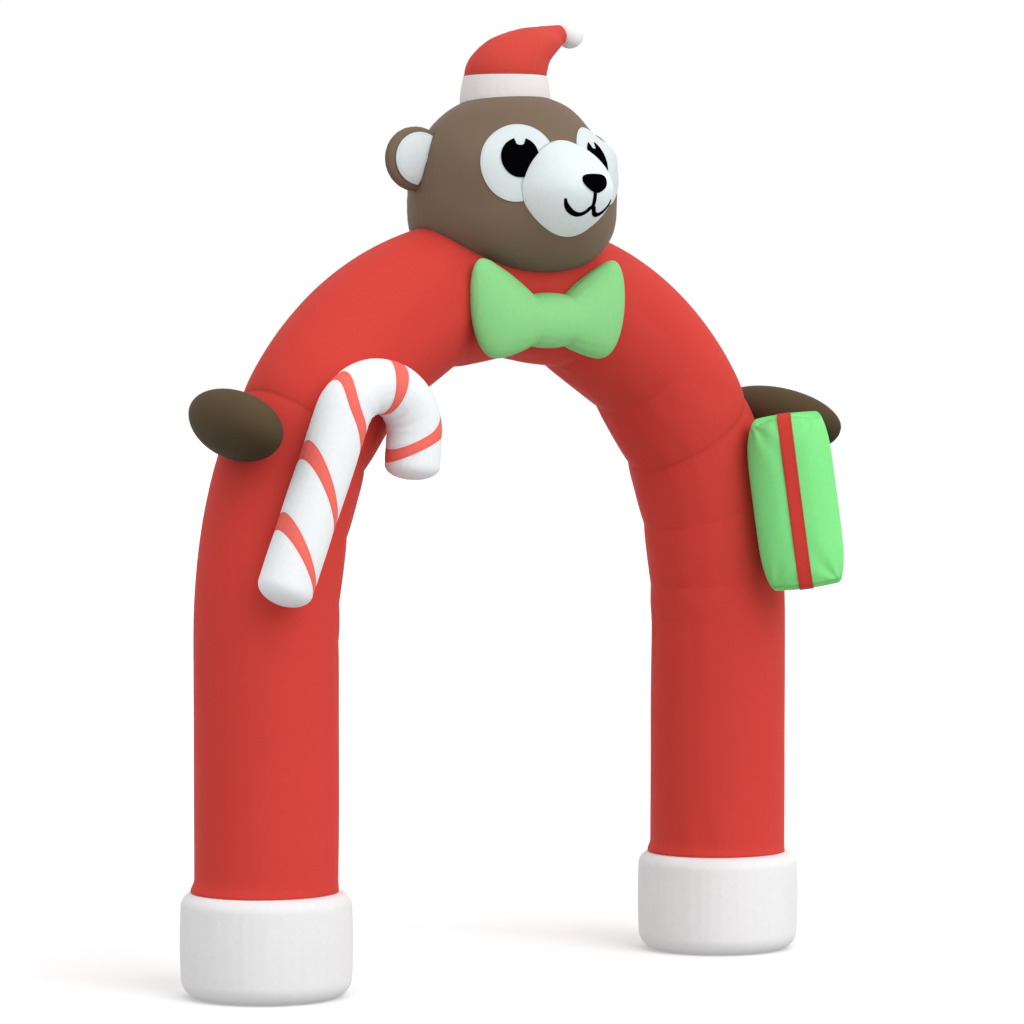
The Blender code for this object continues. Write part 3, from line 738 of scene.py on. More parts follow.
def placed(name, data):
    """An object of the scene for a mesh, lamp or camera."""
    thing = bpy.data.objects.new(name, data)
    bpy.context.collection.objects.link(thing)
    return thing


def add_piece(name, rings, seam_uv, material, stripe=None):
    """Makes a closed piece from rings, whose two ends close on their own middles.

    The map Cloth holds the length along the nearest seam and the distance from it. The map
    Stripe holds the distance from the edge of a coloured band, negative inside it.
    """
    rows, sides = rings.shape[:2]
    points = np.concatenate([rings.reshape(-1, 3), [rings[0].mean(0), rings[-1].mean(0)]])
    side = np.arange(sides)
    after = (side + 1) % sides
    base, end = np.arange(rows - 1)[:, None] * sides, (rows - 1) * sides
    quads = np.stack([base + side, base + after, base + sides + after, base + sides + side], -1)
    starts = np.stack([np.full(sides, rows * sides), after, side], -1)
    ends = np.stack([np.full(sides, rows * sides + 1), end + side, end + after], -1)
    way = 1 if signed_volume(rings) > 0 else -1
    faces = []
    for part in (quads.reshape(-1, 4), starts, ends):
        faces += part[:, ::way].tolist()
    mesh = bpy.data.meshes.new(name)
    mesh.from_pydata(points.tolist(), [], faces)
    add_map(mesh, "Cloth", seam_uv, way)
    if stripe is not None:
        add_map(mesh, "Stripe", (stripe, np.zeros_like(stripe)), way)
    mesh.shade_smooth()
    mesh.set_sharp_from_angle(angle=np.radians(55))
    mesh.materials.append(material)
    pieces[name] = placed(name + "_skin", mesh)


def add_map(mesh, name, values, way):
    """Writes two (rows, sides + 1) arrays as a UV map, corner by corner as the faces run."""
    grid = np.stack(values, -1)
    low, high, first, last = grid[:-1], grid[1:], grid[0], grid[-1]
    quads = np.stack([low[:, :-1], low[:, 1:], high[:, 1:], high[:, :-1]], 2)
    starts = np.stack([(first[:-1] + first[1:]) / 2, first[1:], first[:-1]], 1)
    ends = np.stack([(last[:-1] + last[1:]) / 2, last[:-1], last[1:]], 1)
    parts = (quads.reshape(-1, 4, 2), starts, ends)
    corners = np.concatenate([part[:, ::way].reshape(-1, 2) for part in parts])
    mesh.uv_layers.new(name=name).data.foreach_set("uv", corners.ravel().astype(np.float32))


# ---------------------------------------------------------------- materials
class Nodes:
    """Short calls that add and link the nodes of one material or world."""

    def __init__(self, block):
        block.use_nodes = True
        self.tree = block.node_tree

    def link(self, source, socket):
        """Sets a socket to a number or colour, or links it to another node's output."""
        if isinstance(source, bpy.types.NodeSocket):
            self.tree.links.new(source, socket)
        else:
            socket.default_value = source

    def add(self, kind, inputs=None, **settings):
        node = self.tree.nodes.new(kind)
        for key, value in settings.items():
            setattr(node, key, value)
        for key, value in (inputs or {}).items():
            self.link(value, node.inputs[key])
        return node

    def math(self, operation, *values):
        return self.add("ShaderNodeMath", dict(enumerate(values)), operation=operation).outputs[0]

    def times(self, first, *others):
        """The product of numbers and sockets."""
        for other in others:
            first = self.math("MULTIPLY", first, other)
        return first

    def split(self, vector):
        return self.add("ShaderNodeSeparateXYZ", {0: vector}).outputs

    def uv(self, name):
        return self.split(self.add("ShaderNodeUVMap", uv_map=name).outputs[0])

    def ramp(self, value, low, high, start, end):
        """A smooth step from start to end as value goes from low to high."""
        inputs = dict(enumerate((value, low, high, start, end)))
        return self.add("ShaderNodeMapRange", inputs, interpolation_type="SMOOTHSTEP").outputs[0]

    def noise(self, position, scale, detail=2.0, rough=0.5):
        inputs = {"Vector": position, "Scale": scale, "Detail": detail, "Roughness": rough}
        return self.add("ShaderNodeTexNoise", inputs).outputs[0]

    def mix(self, factor, first, second):
        inputs = {0: factor, 6: first, 7: second}
        return self.add("ShaderNodeMix", inputs, data_type="RGBA").outputs[2]

    def scaled(self, colour, factor):
        inputs = {0: colour, "Scale": factor}
        return self.add("ShaderNodeVectorMath", inputs, operation="SCALE").outputs[0]

    def bump(self, height, distance, **under):
        """A surface normal. under is Normal=another bump that this one lies on."""
        inputs = {"Height": height, "Distance": distance, "Strength": 1.0, **under}
        return self.add("ShaderNodeBump", inputs).outputs[0]


WEAVE_PERIOD = 0.0022  # two threads of the plain weave
WEAVE_DEPTH = 0.00007
UNEVEN = 0.035  # how far the colour varies over a piece
SLOW_TONE = 2.3  # how many times a metre it does, roughly,
FINE_TONE = 90.0  # and how many times in a finer way
ROUGH_TONE = 14.0  # the same for the roughness
CRINKLES = 26.0  # and for the crinkles
SHADE_WIDTH = 0.007  # width of the painted shade along a seam
STITCH_AWAY = 0.0055  # from the seam to its row of stitches
STITCH_LENGTH = 0.0075
STITCH_DEPTH = 0.0004


def weave_height(nodes, position):
    """A plain weave on any face: crossed waves in the two directions along it."""
    angles = [nodes.times(place, FULL_TURN / WEAVE_PERIOD) for place in nodes.split(position)]
    waves = [nodes.math("SINE", angle) for angle in angles]
    facing = nodes.split(nodes.add("ShaderNodeNewGeometry").outputs["Normal"])
    total = 0.0
    for axis in range(3):
        share = nodes.math("POWER", nodes.math("ABSOLUTE", facing[axis]), 2.0)
        crossed = nodes.times(waves[axis - 2], waves[axis - 1], share)
        total = nodes.math("ADD", crossed, total)
    return total


def cloth(name, colour, roughness=0.62, specular=0.06, sheen=0.0, stripe=None, crinkle=0.0004,
          seam_shade=0.86, thread=0.9, fade=None):
    """Sewn polyester cloth: weave, fine crinkles, painted shade along the seams, rows of stitches.

    stripe is the colour of the bands of a striped cloth. seam_shade is the strength of the
    colour under the painted shade at a seam, and thread that on a stitch. The last argument
    is painted light and shade that change with height: two heights and the colour's strength at each.
    """
    material = bpy.data.materials.new(name)
    nodes = Nodes(material)
    shader = nodes.tree.nodes["Principled BSDF"].inputs
    position = nodes.add("ShaderNodeTexCoord").outputs["Object"]
    along, away = nodes.uv("Cloth")[:2]
    if stripe:
        in_band = nodes.ramp(nodes.uv("Stripe")[0], -0.0007, 0.0007, 1.0, 0.0)
        colour = nodes.mix(in_band, (*colour, 1), (*stripe, 1))

    slow = nodes.ramp(nodes.noise(position, SLOW_TONE, 3.0), 0.25, 0.75, 1 - UNEVEN, 1 + UNEVEN)
    fine = nodes.ramp(nodes.noise(position, FINE_TONE), 0.2, 0.8, 1 - UNEVEN / 2, 1 + UNEVEN / 2)
    # painted light and shade: the colour is scaled by height, lighter or darker than the cloth's own
    if fade:
        slow = nodes.times(slow, nodes.ramp(nodes.split(position)[2], *fade))
    # painted shade: the cloth is darker close to a seam
    shade = nodes.ramp(away, 0.0, SHADE_WIDTH, seam_shade, 1.0)
    off_row = nodes.math("ABSOLUTE", nodes.math("SUBTRACT", away, STITCH_AWAY))
    step = nodes.math("FRACT", nodes.math("DIVIDE", along, STITCH_LENGTH))
    off_middle = nodes.math("ABSOLUTE", nodes.math("SUBTRACT", step, 0.5))
    on_row = nodes.ramp(off_row, 0.0004, 0.0011, 1.0, 0.0)
    on_dash = nodes.ramp(off_middle, 0.28, 0.36, 1.0, 0.0)
    stitch = nodes.times(on_row, on_dash)
    factor = nodes.times(slow, fine, shade, nodes.ramp(stitch, 0.0, 1.0, 1.0, thread))
    nodes.link(nodes.scaled(colour, factor), shader["Base Color"])

    rough = nodes.noise(position, ROUGH_TONE, 3.0)
    nodes.link(nodes.ramp(rough, 0.2, 0.8, roughness - 0.05, roughness + 0.05), shader["Roughness"])
    shader["Specular IOR Level"].default_value = specular
    shader["Sheen Weight"].default_value = sheen
    shader["Sheen Roughness"].default_value = 0.45

    soft = nodes.bump(nodes.noise(position, CRINKLES, 4.0, 0.55), crinkle)
    woven = nodes.bump(weave_height(nodes, position), WEAVE_DEPTH, Normal=soft)
    stitched = nodes.bump(nodes.times(stitch, -1.0), STITCH_DEPTH, Normal=woven)
    nodes.link(stitched, shader["Normal"])
    return material


# ---------------------------------------------------------------- the arch
def arch_line():
    """The x and z of the tube's middle, and how far along it each arc seam is."""
    turns = np.radians(np.linspace(-90, 90, 1441))
    across, high = np.sin(turns), np.cos(turns)
    flat, tall = across / HALF_SPAN, high / ARC_RISE
    reach = rounded(flat, tall, ARC_POWER)
    x, z = reach * across, SPRING_HEIGHT + reach * high
    leg = FOOT_HEIGHT + GAP
    x = np.concatenate([[-HALF_SPAN], x, [HALF_SPAN]])
    z = np.concatenate([[leg], z, [leg]])
    far = np.concatenate([[0], np.cumsum(np.hypot(np.diff(x), np.diff(z)))])
    signed = sorted({-turn for turn in ARC_SEAMS} | set(ARC_SEAMS))
    arc = np.interp(np.radians(signed), turns, far[1:-1])
    return x, z, np.concatenate([[0], arc, [far[-1]]])


LINE_X, LINE_Z, ARCH_SEAMS = arch_line()
LAST_SEAM = len(ARCH_SEAMS) - 1
# How much nearer the apex each seam of ARC_SEAMS runs outside the bend than inside it
ARC_TILTS = (0, 0.01, 0.025, 0.058, 0.045, 0.02, 0.01)
SEAM_TILT = np.array([0, *ARC_TILTS[:0:-1], 0, *(-tilt for tilt in ARC_TILTS[1:]), 0])
ON_SHOULDER = np.abs(SEAM_TILT) == max(ARC_TILTS)
FOOT_TO_APEX = (0.6, 0.03, 0.03, 0.08, 1.2, 0.08, 0.2, 0.2)  # how tight each seam is
SEAM_STRENGTH = np.array([*FOOT_TO_APEX, *FOOT_TO_APEX[-2::-1]])
ARCH_GATHERS = Ripples(11, (29, 34, 41, 47, 53))
ARCH_FOLDS = Ripples(12, (7, 11, 16))
ARCH_DRIFT = Drift(13, 0.55)


def seam_shift(place, phi):
    """How far along the line a row of the cloth is moved at phi, as the seams lean."""
    return np.interp(place, ARCH_SEAMS, SEAM_TILT) * (1 + np.cos(phi)) / 2


def plain_radius(s, phi):
    """Radius of the tube without its seams and folds."""
    return np.full(np.shape(s), TUBE_RADIUS)


def panel_sag():
    """How far the inner side of each panel is pulled straight between its two seams."""
    inner = Tube(LINE_X, LINE_Z, FRAME_Y, plain_radius)
    start, end = ARCH_SEAMS[:-1], ARCH_SEAMS[1:]
    straight = (inner.skin(start, np.pi) + inner.skin(end, np.pi)) / 2
    return length_of(straight - inner.skin((start + end) / 2, np.pi))


PANEL_SAG = panel_sag()


def arch_radius(s, phi):
    """Radius of the tube: taut between its seams, straight inside the bend, flared at the feet."""
    s, phi = np.broadcast_arrays(s, phi)
    row = s
    for _ in range(8):
        row = s - seam_shift(row, phi)
    panel = np.clip(np.searchsorted(ARCH_SEAMS, row, side="right") - 1, 0, LAST_SEAM - 1)
    share = np.clip((row - ARCH_SEAMS[panel]) / np.diff(ARCH_SEAMS)[panel], 0, 1)
    seam = np.where(share < 0.5, panel, panel + 1)
    away = np.abs(row - ARCH_SEAMS[seam])
    inner, outer = np.maximum(-np.cos(phi), 0), np.maximum(np.cos(phi) + 0.5, 0) / 1.5
    groove, gather, fold = (a + b * inner for a, b in (ARCH_GROOVE, ARCH_GATHER, ARCH_FOLD))

    in_air = (seam > 0) & (seam < LAST_SEAM)
    waist = ARCH_WAIST * in_air * bell(away, ARCH_WAIST_WIDTH, 1)
    gathers = gather * (ARCH_GATHERS.at(phi, seam) * 0.5 - 0.3) * hump(away, ARCH_GATHER_AWAY)
    drawn = groove * bell(away, ARCH_GROOVE_WIDTH, 1.4) + waist - gathers
    pinch = SHOULDER_PINCH * outer * ON_SHOULDER[seam] * bell(away, SHOULDER_WIDTH, 1)
    wide = hump(away, ARCH_FOLD_AWAY) * smooth_step(1.6 * np.abs(1 - 2 * share))
    full = inner * (PANEL_SAG[panel] * 4 * share * (1 - share) + ARCH_FULL * np.sin(np.pi * share))
    full = full + fold * ARCH_FOLDS.at(phi, seam) * wide - drawn * SEAM_STRENGTH[seam] - pinch

    height = np.minimum(s, ARCH_SEAMS[-1] - s)
    toward_left = np.where(s < ARCH_SEAMS[-1] / 2, 1, -1) * np.cos(phi)
    lean = 1 + LEG_FLARE_LEAN[0] * toward_left + LEG_FLARE_LEAN[1] * np.sin(phi)
    flare = LEG_FLARE * lean * (1 - smooth_step(height / LEG_FLARE_HEIGHT)) ** 1.5
    spot = np.stack([s, np.cos(phi) * TUBE_RADIUS, np.sin(phi) * TUBE_RADIUS], -1)
    return TUBE_RADIUS + full + flare + ARCH_UNEVEN * ARCH_DRIFT.at(spot)


ARCH = Tube(LINE_X, LINE_Z, FRAME_Y, arch_radius)


def build_arch(material):
    places = ring_places(0, ARCH.length, 0.0125, ARCH_SEAMS)
    turns = even_turns(216)[None]
    rings = ARCH.skin(places[:, None] + seam_shift(places[:, None], turns), turns)
    rows = [index_at(places, seam) for seam in ARCH_SEAMS]
    length, distance = seam_map(rings, rows)
    nearest = np.abs(places[:, None] - ARCH_SEAMS).argmin(1)
    faint = SLACK_SEAM * np.clip(1 - SEAM_STRENGTH[nearest], 0, 1)
    add_piece("arch_tube", rings, (length, distance + faint[:, None]), material)


def build_foot(name, side, material):
    """A short fat drum: a flat base, a slightly bulging wall and a soft upper edge."""
    base, top = FOOT_RADIUS - FOOT_BOTTOM_ROUND, FOOT_RADIUS - FOOT_TOP_ROUND
    high = FOOT_HEIGHT - FOOT_TOP_ROUND
    profile = np.concatenate([
        stretch((POLE, 0), (base, 0), 8)[:-1],
        arc(base, FOOT_BOTTOM_ROUND, FOOT_BOTTOM_ROUND, -90, 0, 16),
        stretch((FOOT_RADIUS, FOOT_BOTTOM_ROUND), (FOOT_RADIUS, high), 18, FOOT_BULGE)[1:],
        arc(top, high, FOOT_TOP_ROUND, 0, 90, 14)[1:],
        stretch((top, FOOT_HEIGHT), (POLE, FOOT_HEIGHT), 8)[1:],
    ])
    seam = index_at(profile[:, 1], FOOT_SEAM)
    turns = even_turns(200)
    radius, height = profile[:, :1], profile[:, 1:]
    rings = turned(radius, height, turns, side * HALF_SPAN, FRAME_Y)
    streaks = Ripples(24 + side, (13, 19, 29, 41, 53)).at(turns)
    on_wall = smooth_step((height - 0.01) / 0.1) * smooth_step((FOOT_HEIGHT - height) / 0.03)
    rings = rings + grid_normals(rings) * (FOOT_STREAK * streaks * on_wall)[..., None]
    upright_seam = 50 if side < 0 else 60
    rings, uv = sewn(rings, (seam,), 21 + side, (upright_seam,), groove=0.0008, gather=0.0006)
    rings[..., 2] = np.clip(rings[..., 2], 0, FOOT_HEIGHT)
    add_piece(name, rings, uv, material)


# ---------------------------------------------------------------- the head
HEAD_AXES = turn_matrix(HEAD_TURN, 2)
HEAD_ORIGIN = np.array([0, FRAME_Y + HEAD_Y, 0])
HEAD_DRIFT = Drift(31, 1.6)


def in_head(point):
    """A point of the head's own frame, in the row's frame."""
    return HEAD_ORIGIN + HEAD_AXES @ np.asarray(point, float)


def head_egg(middle, half, **settings):
    return Egg(in_head(middle), half, axes=HEAD_AXES, **settings)


def head_shape(way):
    """The head is full beside the eyes and recedes above them, and is a little uneven."""
    turn = np.degrees(np.arctan2(np.abs(way[..., 0]), -way[..., 1]))
    height = np.degrees(np.arcsin(np.clip(way[..., 2], -1, 1)))

    def spot(turns, heights):
        return bell(turn - turns[0], turns[1]) * bell(height - heights[0], heights[1])

    full, drawn = spot(CHEEK_TURN, CHEEK_HEIGHT), spot(BROW_TURN, BROW_HEIGHT)
    return HEAD_UNEVEN * HEAD_DRIFT.at(way) + CHEEK_RISE * full - BROW_DEPTH * drawn


HEAD = head_egg(HEAD_MIDDLE, HEAD_HALF, down=HEAD_DOWN, power=HEAD_POWER, drift=head_shape)
MUZZLE = head_egg(
    MUZZLE_MIDDLE, MUZZLE_HALF, down=MUZZLE_DOWN, power=MUZZLE_POWER, chin=MUZZLE_CHIN
)


def egg_rings(egg, carrier, sides, rows, cap_rows):
    """Rings of an egg from its free end to its seam, then back across what carries it."""
    pole = free_pole(egg, carrier)

    def skin(share, turn):
        return egg.skin(ball_point(pole, share, turn))

    return trimmed(skin, carrier, even_turns(sides), rows, cap_rows)


def build_head(material):
    """The head, sewn to the top of the arch, with three seams down its back."""
    back = np.radians(HEAD_BACK_SEAMS)
    turns = ring_places(0, FULL_TURN, 0.0315, back, scale=HEAD_RADIUS)[:-1]

    def skin(share, turn):
        return HEAD.skin(ball_point((0, 0, 1), share, turn + np.pi / 2))

    rings, seam = trimmed(skin, ARCH, turns, 120, 22, crowd=1.35)
    columns = [index_at(turns, turn) for turn in back]
    stitching = dict(groove=0.0012, gather=0.0016, spread=0.018, wave=0.034)
    moved, uv = sewn(rings, (seam,), 33, columns, **stitching)
    hidden = (np.arange(len(rings))[:, None] >= seam) | (rings[..., 2] > HAT_HIDES)
    moved = np.where(hidden[..., None], rings, moved)
    add_piece("head", moved, uv, material)


def build_muzzle(material):
    rings, seam = egg_rings(MUZZLE, HEAD, 144, 76, 10)
    add_piece("muzzle", *sewn_on(rings, seam, 35, gather=0.0006, groove=0.0008), material)


def build_ear(name, side, material, lining):
    """A puffed disc with a seam round its rim, and a pale lining sewn on its front."""
    ear = head_egg((side * EAR_MIDDLE[0], *EAR_MIDDLE[1:]), EAR_HALF)
    rings, seam = egg_rings(ear, HEAD, 120, 64, 8)
    own = ear.own(rings)
    past_lining = (length_of(own[..., [0, 2]] / INNER_EAR_HALF) - 1) * INNER_EAR_HALF[1]
    press = np.where(own[..., 1] < 0, EAR_PRESS[0] * bell(past_lining, EAR_PRESS[1]), 0)
    rim = np.abs(own[..., 1])
    angle = np.arctan2(own[..., 2], own[..., 0])
    folds = 0.5 + 0.5 * Ripples(36 + side, (17, 23, 31, 38)).at(angle)
    groove = EAR_GROOVE[0] * bell(rim, EAR_GROOVE[1], 1.5)
    groove = groove + EAR_GATHER[0] * folds * bell(rim, EAR_GATHER[1])
    shown = (np.arange(len(rings)) < seam)[:, None]
    moved = rings - grid_normals(rings) * np.where(shown, press + groove, 0)[..., None]
    add_piece(name, moved, (closed(angle) * EAR_HALF[0], closed(rim)), material)

    def place(flat, lift):
        share = 1 - (flat[..., 0] / EAR_HALF[0]) ** 2 - (flat[..., 1] / EAR_HALF[2]) ** 2
        deep = -EAR_HALF[1] * np.sqrt(np.maximum(share, 0)) - lift
        return ear.middle + np.stack([flat[..., 0], deep, flat[..., 1]], -1) @ HEAD_AXES.T

    outline = shortened(oval(INNER_EAR_HALF, 90), place, HEAD)
    add_patch("inner_" + name, name, outline, lining, place, pillow(INNER_EAR_HALF, 0.001))


def shortened(outline, place, carrier, top=PATCH, middle=(0, 0)):
    """An outline whose rays from the middle stop where they would meet a neighbour."""
    shares = np.linspace(0.2, 1, 300)
    flat = outline[None] * shares[:, None, None] + middle
    spots = place(flat, top(flat) if callable(top) else np.full(flat.shape[:-1], top))
    blocked = carrier.clearance(spots) < GAP * 2
    first = np.where(blocked.any(0), np.maximum(blocked.argmax(0) - 1, 0), len(shares) - 1)
    return outline * shares[first][:, None]


def pillow(half, height):
    """How far a puffed oval piece swells above its edge, at a point of its flat shape."""

    def swell(flat):
        return height * np.maximum(1 - length_of(flat / half) ** 2, 0)

    return swell


def no_swell(flat):
    return np.zeros(flat.shape[:-1])


def resting(flat):
    """The underside of a patch that is sewn straight on its body."""
    return np.full(flat.shape[:-1], GAP)


HEM = np.array([  # of a patch: how far in from its edge, and its height there
    (0.012, 1.0), (0.009, 0.97), (0.007, 0.9), (0.0055, 0.84), (0.004, 0.9),
    (0.0025, 1.0), (0.0012, 1.0), (0.0003, 0.86), (0.0, 0.5),
])


def patch(outline, place, swell, under=resting, middle=(0, 0)):
    """A piece of cloth sewn on a body: rings over its top, round its rim and under it.

    place(flat, lift) puts points of the flat patch on the body, under(flat) is how high its
    underside lies, and swell(flat) is how far its top is puffed. The edge is turned under,
    and a row of stitches presses it down.
    """
    radius = length_of(outline)
    hem = 1 - HEM[:, :1] / radius
    inside = np.linspace(0.06, 1, 11)[:-1, None]
    below = np.array([0.995, *np.linspace(0.92, 0.06, 10)])[:, None]
    share = np.concatenate([hem[0] * inside, hem, below + 0 * radius])
    rim = slice(len(inside), len(inside) + len(hem))
    away = np.full(share.shape, NO_STITCH)
    away[: rim.start] = radius * (1 - inside) + HEM[0, 0]
    away[rim] = HEM[:, :1]
    height = np.concatenate([np.ones(len(inside)), HEM[:, 1], np.zeros(len(below))])[:, None]
    flat = outline * share[..., None] + middle
    on_top = (np.arange(len(share)) < rim.stop)[:, None]
    lift = under(flat) + PATCH * height + np.where(on_top, swell(flat), 0)
    edge = travelled(np.concatenate([outline, outline[:1]]))
    length = np.broadcast_to(edge, (len(share), len(edge)))
    return place(flat, lift), (length, closed(away))


def add_patch(name, carrier, outline, material, place, swell, **settings):
    """Adds a thin patch, and notes the size of cloth it was cut to and what it is sewn on."""
    add_piece(name, *patch(outline, place, swell, **settings), material)
    after = np.roll(outline, -1, 0)
    area = np.abs(np.sum(outline[:, 0] * after[:, 1] - outline[:, 1] * after[:, 0])) / 2
    cuts[name] = dict(flat=tuple(np.ptp(outline, axis=0)), area=area, rests_on=[carrier])


def face_way(turn, height, side):
    """From the middle of the head to a spot on its skin, turn degrees from straight ahead."""
    plan = (1 - (height / HEAD_HALF[2]) ** HEAD_POWER) ** (1 / HEAD_POWER) * HEAD_HALF[0]
    angle = np.radians(turn)
    return np.array([side * plan * np.sin(angle), -plan * np.cos(angle), height])


def on_egg(egg, toward):
    """A place() for patch(): flat points (right, up) about a way out of the egg."""
    ahead = unit(np.asarray(toward, float))
    right = unit(np.cross([0, 0, 1.0], ahead))
    up = np.cross(ahead, right)
    base = ahead * egg.reach(ahead)

    def place(flat, lift):
        return egg.out(base + flat[..., :1] * right + flat[..., 1:] * up, lift)

    return place


def eye_outline(eye, side):
    """An oval with an inner and an outer reach, and its outer lower quarter trimmed."""
    across, high = circle(200)
    outer = across * side > 0
    wide = np.where(outer, eye["outer"], eye["inner"])
    low = -np.abs(high) ** np.where(outer, eye["trim"], 1.0)
    return np.stack([wide * across, np.where(high > 0, EYE_UP * high, EYE_DOWN * low)], -1)


def pupil_outline(half):
    """An oval with a round bite out of its top."""
    horn = np.arccos(GLINT_RADIUS / half)
    body = np.linspace(np.pi - horn, FULL_TURN + horn, 84)
    round_it = np.stack([half * np.cos(body), PUPIL_TALL * np.sin(body)], -1)
    start = np.degrees(np.arctan2(round_it[-1, 1] - GLINT_HEIGHT, GLINT_RADIUS))
    bite = arc(0, GLINT_HEIGHT, GLINT_RADIUS, start, -180 - start, 18)
    return np.concatenate([round_it, bite[1:-1]])


def nose_outline():
    """A wide nose: a flat top with round corners, and sides that run down to a round point."""
    across, high = circle(96)
    square = np.abs(across) ** (2 / NOSE_SQUARE), np.abs(high) ** (2 / NOSE_SQUARE)
    pointed = (1 - np.abs(high) ** NOSE_POINT[0]) ** NOSE_POINT[1]
    x = NOSE_HALF[0] * np.sign(across) * np.where(high > 0, square[0], pointed)
    above = NOSE_SHOULDER + (NOSE_HALF[1] - NOSE_SHOULDER) * square[1]
    below = NOSE_SHOULDER - (NOSE_HALF[1] + NOSE_SHOULDER) * np.abs(high)
    return np.stack([x, np.where(high > 0, above, below)], -1)


def build_eye(name, side, pale, black):
    """A puffed oval eye, cut off by the muzzle, and the black pupil sewn on it."""
    eye = EYES[side]
    place = on_egg(HEAD, face_way(eye["turn"], eye["height"], side))
    bulge_middle = (side * BULGE_PLACE[0], BULGE_PLACE[1])

    def swell(flat):
        wide = np.where(flat[..., 0] * side > 0, eye["outer"], eye["inner"])
        tall = np.where(flat[..., 1] > 0, EYE_UP, EYE_DOWN)
        inside = np.clip(1 - (flat[..., 0] / wide) ** 2 - (flat[..., 1] / tall) ** 2, 0, 1)
        bulge = bell(length_of(flat - bulge_middle), BULGE_SIZE) * smooth_step(inside / 0.16)
        return EYE_PUFF * inside**0.6 + eye["bulge"] * bulge

    def on_eye(flat):
        return PATCH + 2 * GAP + swell(flat)

    def top_of_pupil(flat):
        return on_eye(flat) + PATCH

    outline = shortened(eye_outline(eye, side), place, MUZZLE)
    add_piece("eye_" + name, *patch(outline, place, swell), pale)
    middle = (-side * eye["pupil_inward"], PUPIL_UP)
    outline = shortened(pupil_outline(eye["pupil_half"]), place, MUZZLE, top_of_pupil, middle)
    settings = dict(under=on_eye, middle=middle)
    add_patch("pupil_" + name, "eye_" + name, outline, black, place, no_swell, **settings)


def muzzle_front(x, z):
    """The way from the muzzle's middle to the point of its front at (x, z)."""
    tall = np.abs(z) / np.where(z > 0, MUZZLE_HALF[2], MUZZLE_DOWN)
    plan = (1 - tall**MUZZLE_POWER) ** (1 / MUZZLE_POWER)
    share = np.maximum(plan**2 - (x / MUZZLE_HALF[0]) ** 2, 0)
    return np.stack([x, -MUZZLE_HALF[1] * np.sqrt(share), z], -1)


def strip_section():
    """Across and up, for a strip with a flat underside and a rounded top."""
    across, up = circle(24)
    return across * MOUTH_WIDTH / 2, PATCH * np.clip(up, 0, 1) ** 0.8


def add_strip(name, flat, lift, far, material):
    """Adds a strip on the front of the muzzle, and returns its length from ring to ring."""
    rings = MUZZLE.out(muzzle_front(flat[..., 0], flat[..., 1]), GAP + lift)
    length = np.broadcast_to(far[:, None], (len(far), rings.shape[1] + 1))
    add_piece(name, rings, (length, np.full(length.shape, NO_STITCH)), material)
    return length_of(np.diff(rings.mean(1), axis=0))


def build_mouth(black):
    """A narrow strip of cloth, bent like a w, that thins out toward its two ends."""
    half = np.array(MOUTH)
    rows = np.concatenate([half[:0:-1] * (-1, 1), half])
    path = spline(rows, np.linspace(0, len(rows) - 1, 161))
    along = unit(np.gradient(path, axis=0))
    side = np.stack([-along[:, 1], along[:, 0]], -1)
    far = travelled(path)
    to_end = np.minimum(far, far[-1] - far)
    thinning = 0.5 + 0.5 * smooth_step(to_end / MOUTH_TAPER)
    tip = np.sqrt(np.clip(1 - (1 - np.minimum(to_end / MOUTH_TIP, 1)) ** 2, 0.02, 1))
    across, up = strip_section()
    flat = path[:, None] + side[:, None] * (across * (thinning * tip)[:, None])[..., None]
    from_middle = np.arange(len(path))[:, None] - len(path) // 2
    mitre = MOUTH_MITRE * from_middle
    x, z = flat[..., 0], flat[..., 1]
    x = np.where(from_middle < 0, np.minimum(x, mitre), np.maximum(x, mitre))
    x[len(path) // 2] = 0
    steps = add_strip("mouth", np.stack([x, z], -1), up * tip[:, None], far, black)
    area = (steps * MOUTH_WIDTH * thinning[1:]).sum()
    cuts["mouth"] = dict(flat=(MOUTH_WIDTH, steps.sum()), area=area, rests_on=["muzzle"])


def nose_bottom(x):
    """The height of the nose's lower edge at x."""
    share = np.clip(np.abs(x) / NOSE_HALF[0], 0, 1)
    low = (1 - share ** (1 / NOSE_POINT[1])) ** (1 / NOSE_POINT[0])
    return NOSE_HEIGHT + NOSE_SHOULDER - (NOSE_HALF[1] + NOSE_SHOULDER) * low


def build_lip_line(black):
    """The strip from the nose to the mouth. Its two ends follow their edges."""
    share = np.linspace(0, 1, 24)[:, None]
    across, up = strip_section()
    x = LIP_START * (1 - share) + across
    start = nose_bottom(x) - 2 * GAP
    end = MOUTH[0][1] + MOUTH_WIDTH / 2 + 2 * GAP - across**2 / (2 * MOUTH_WIDTH)
    z = start + (end - start) * share
    far = share[:, 0] * (start - end).mean()
    tall = add_strip("lip_line", np.stack([x, z], -1), up + 0 * x, far, black).sum()
    cuts["lip_line"] = dict(flat=(MOUTH_WIDTH, tall), rests_on=["muzzle"])


def build_nose(black):
    place = on_egg(MUZZLE, muzzle_front(np.array(0.0), np.array(NOSE_HEIGHT)))
    add_patch("nose", "muzzle", nose_outline(), black, place, pillow(NOSE_HALF, NOSE_PUFF))


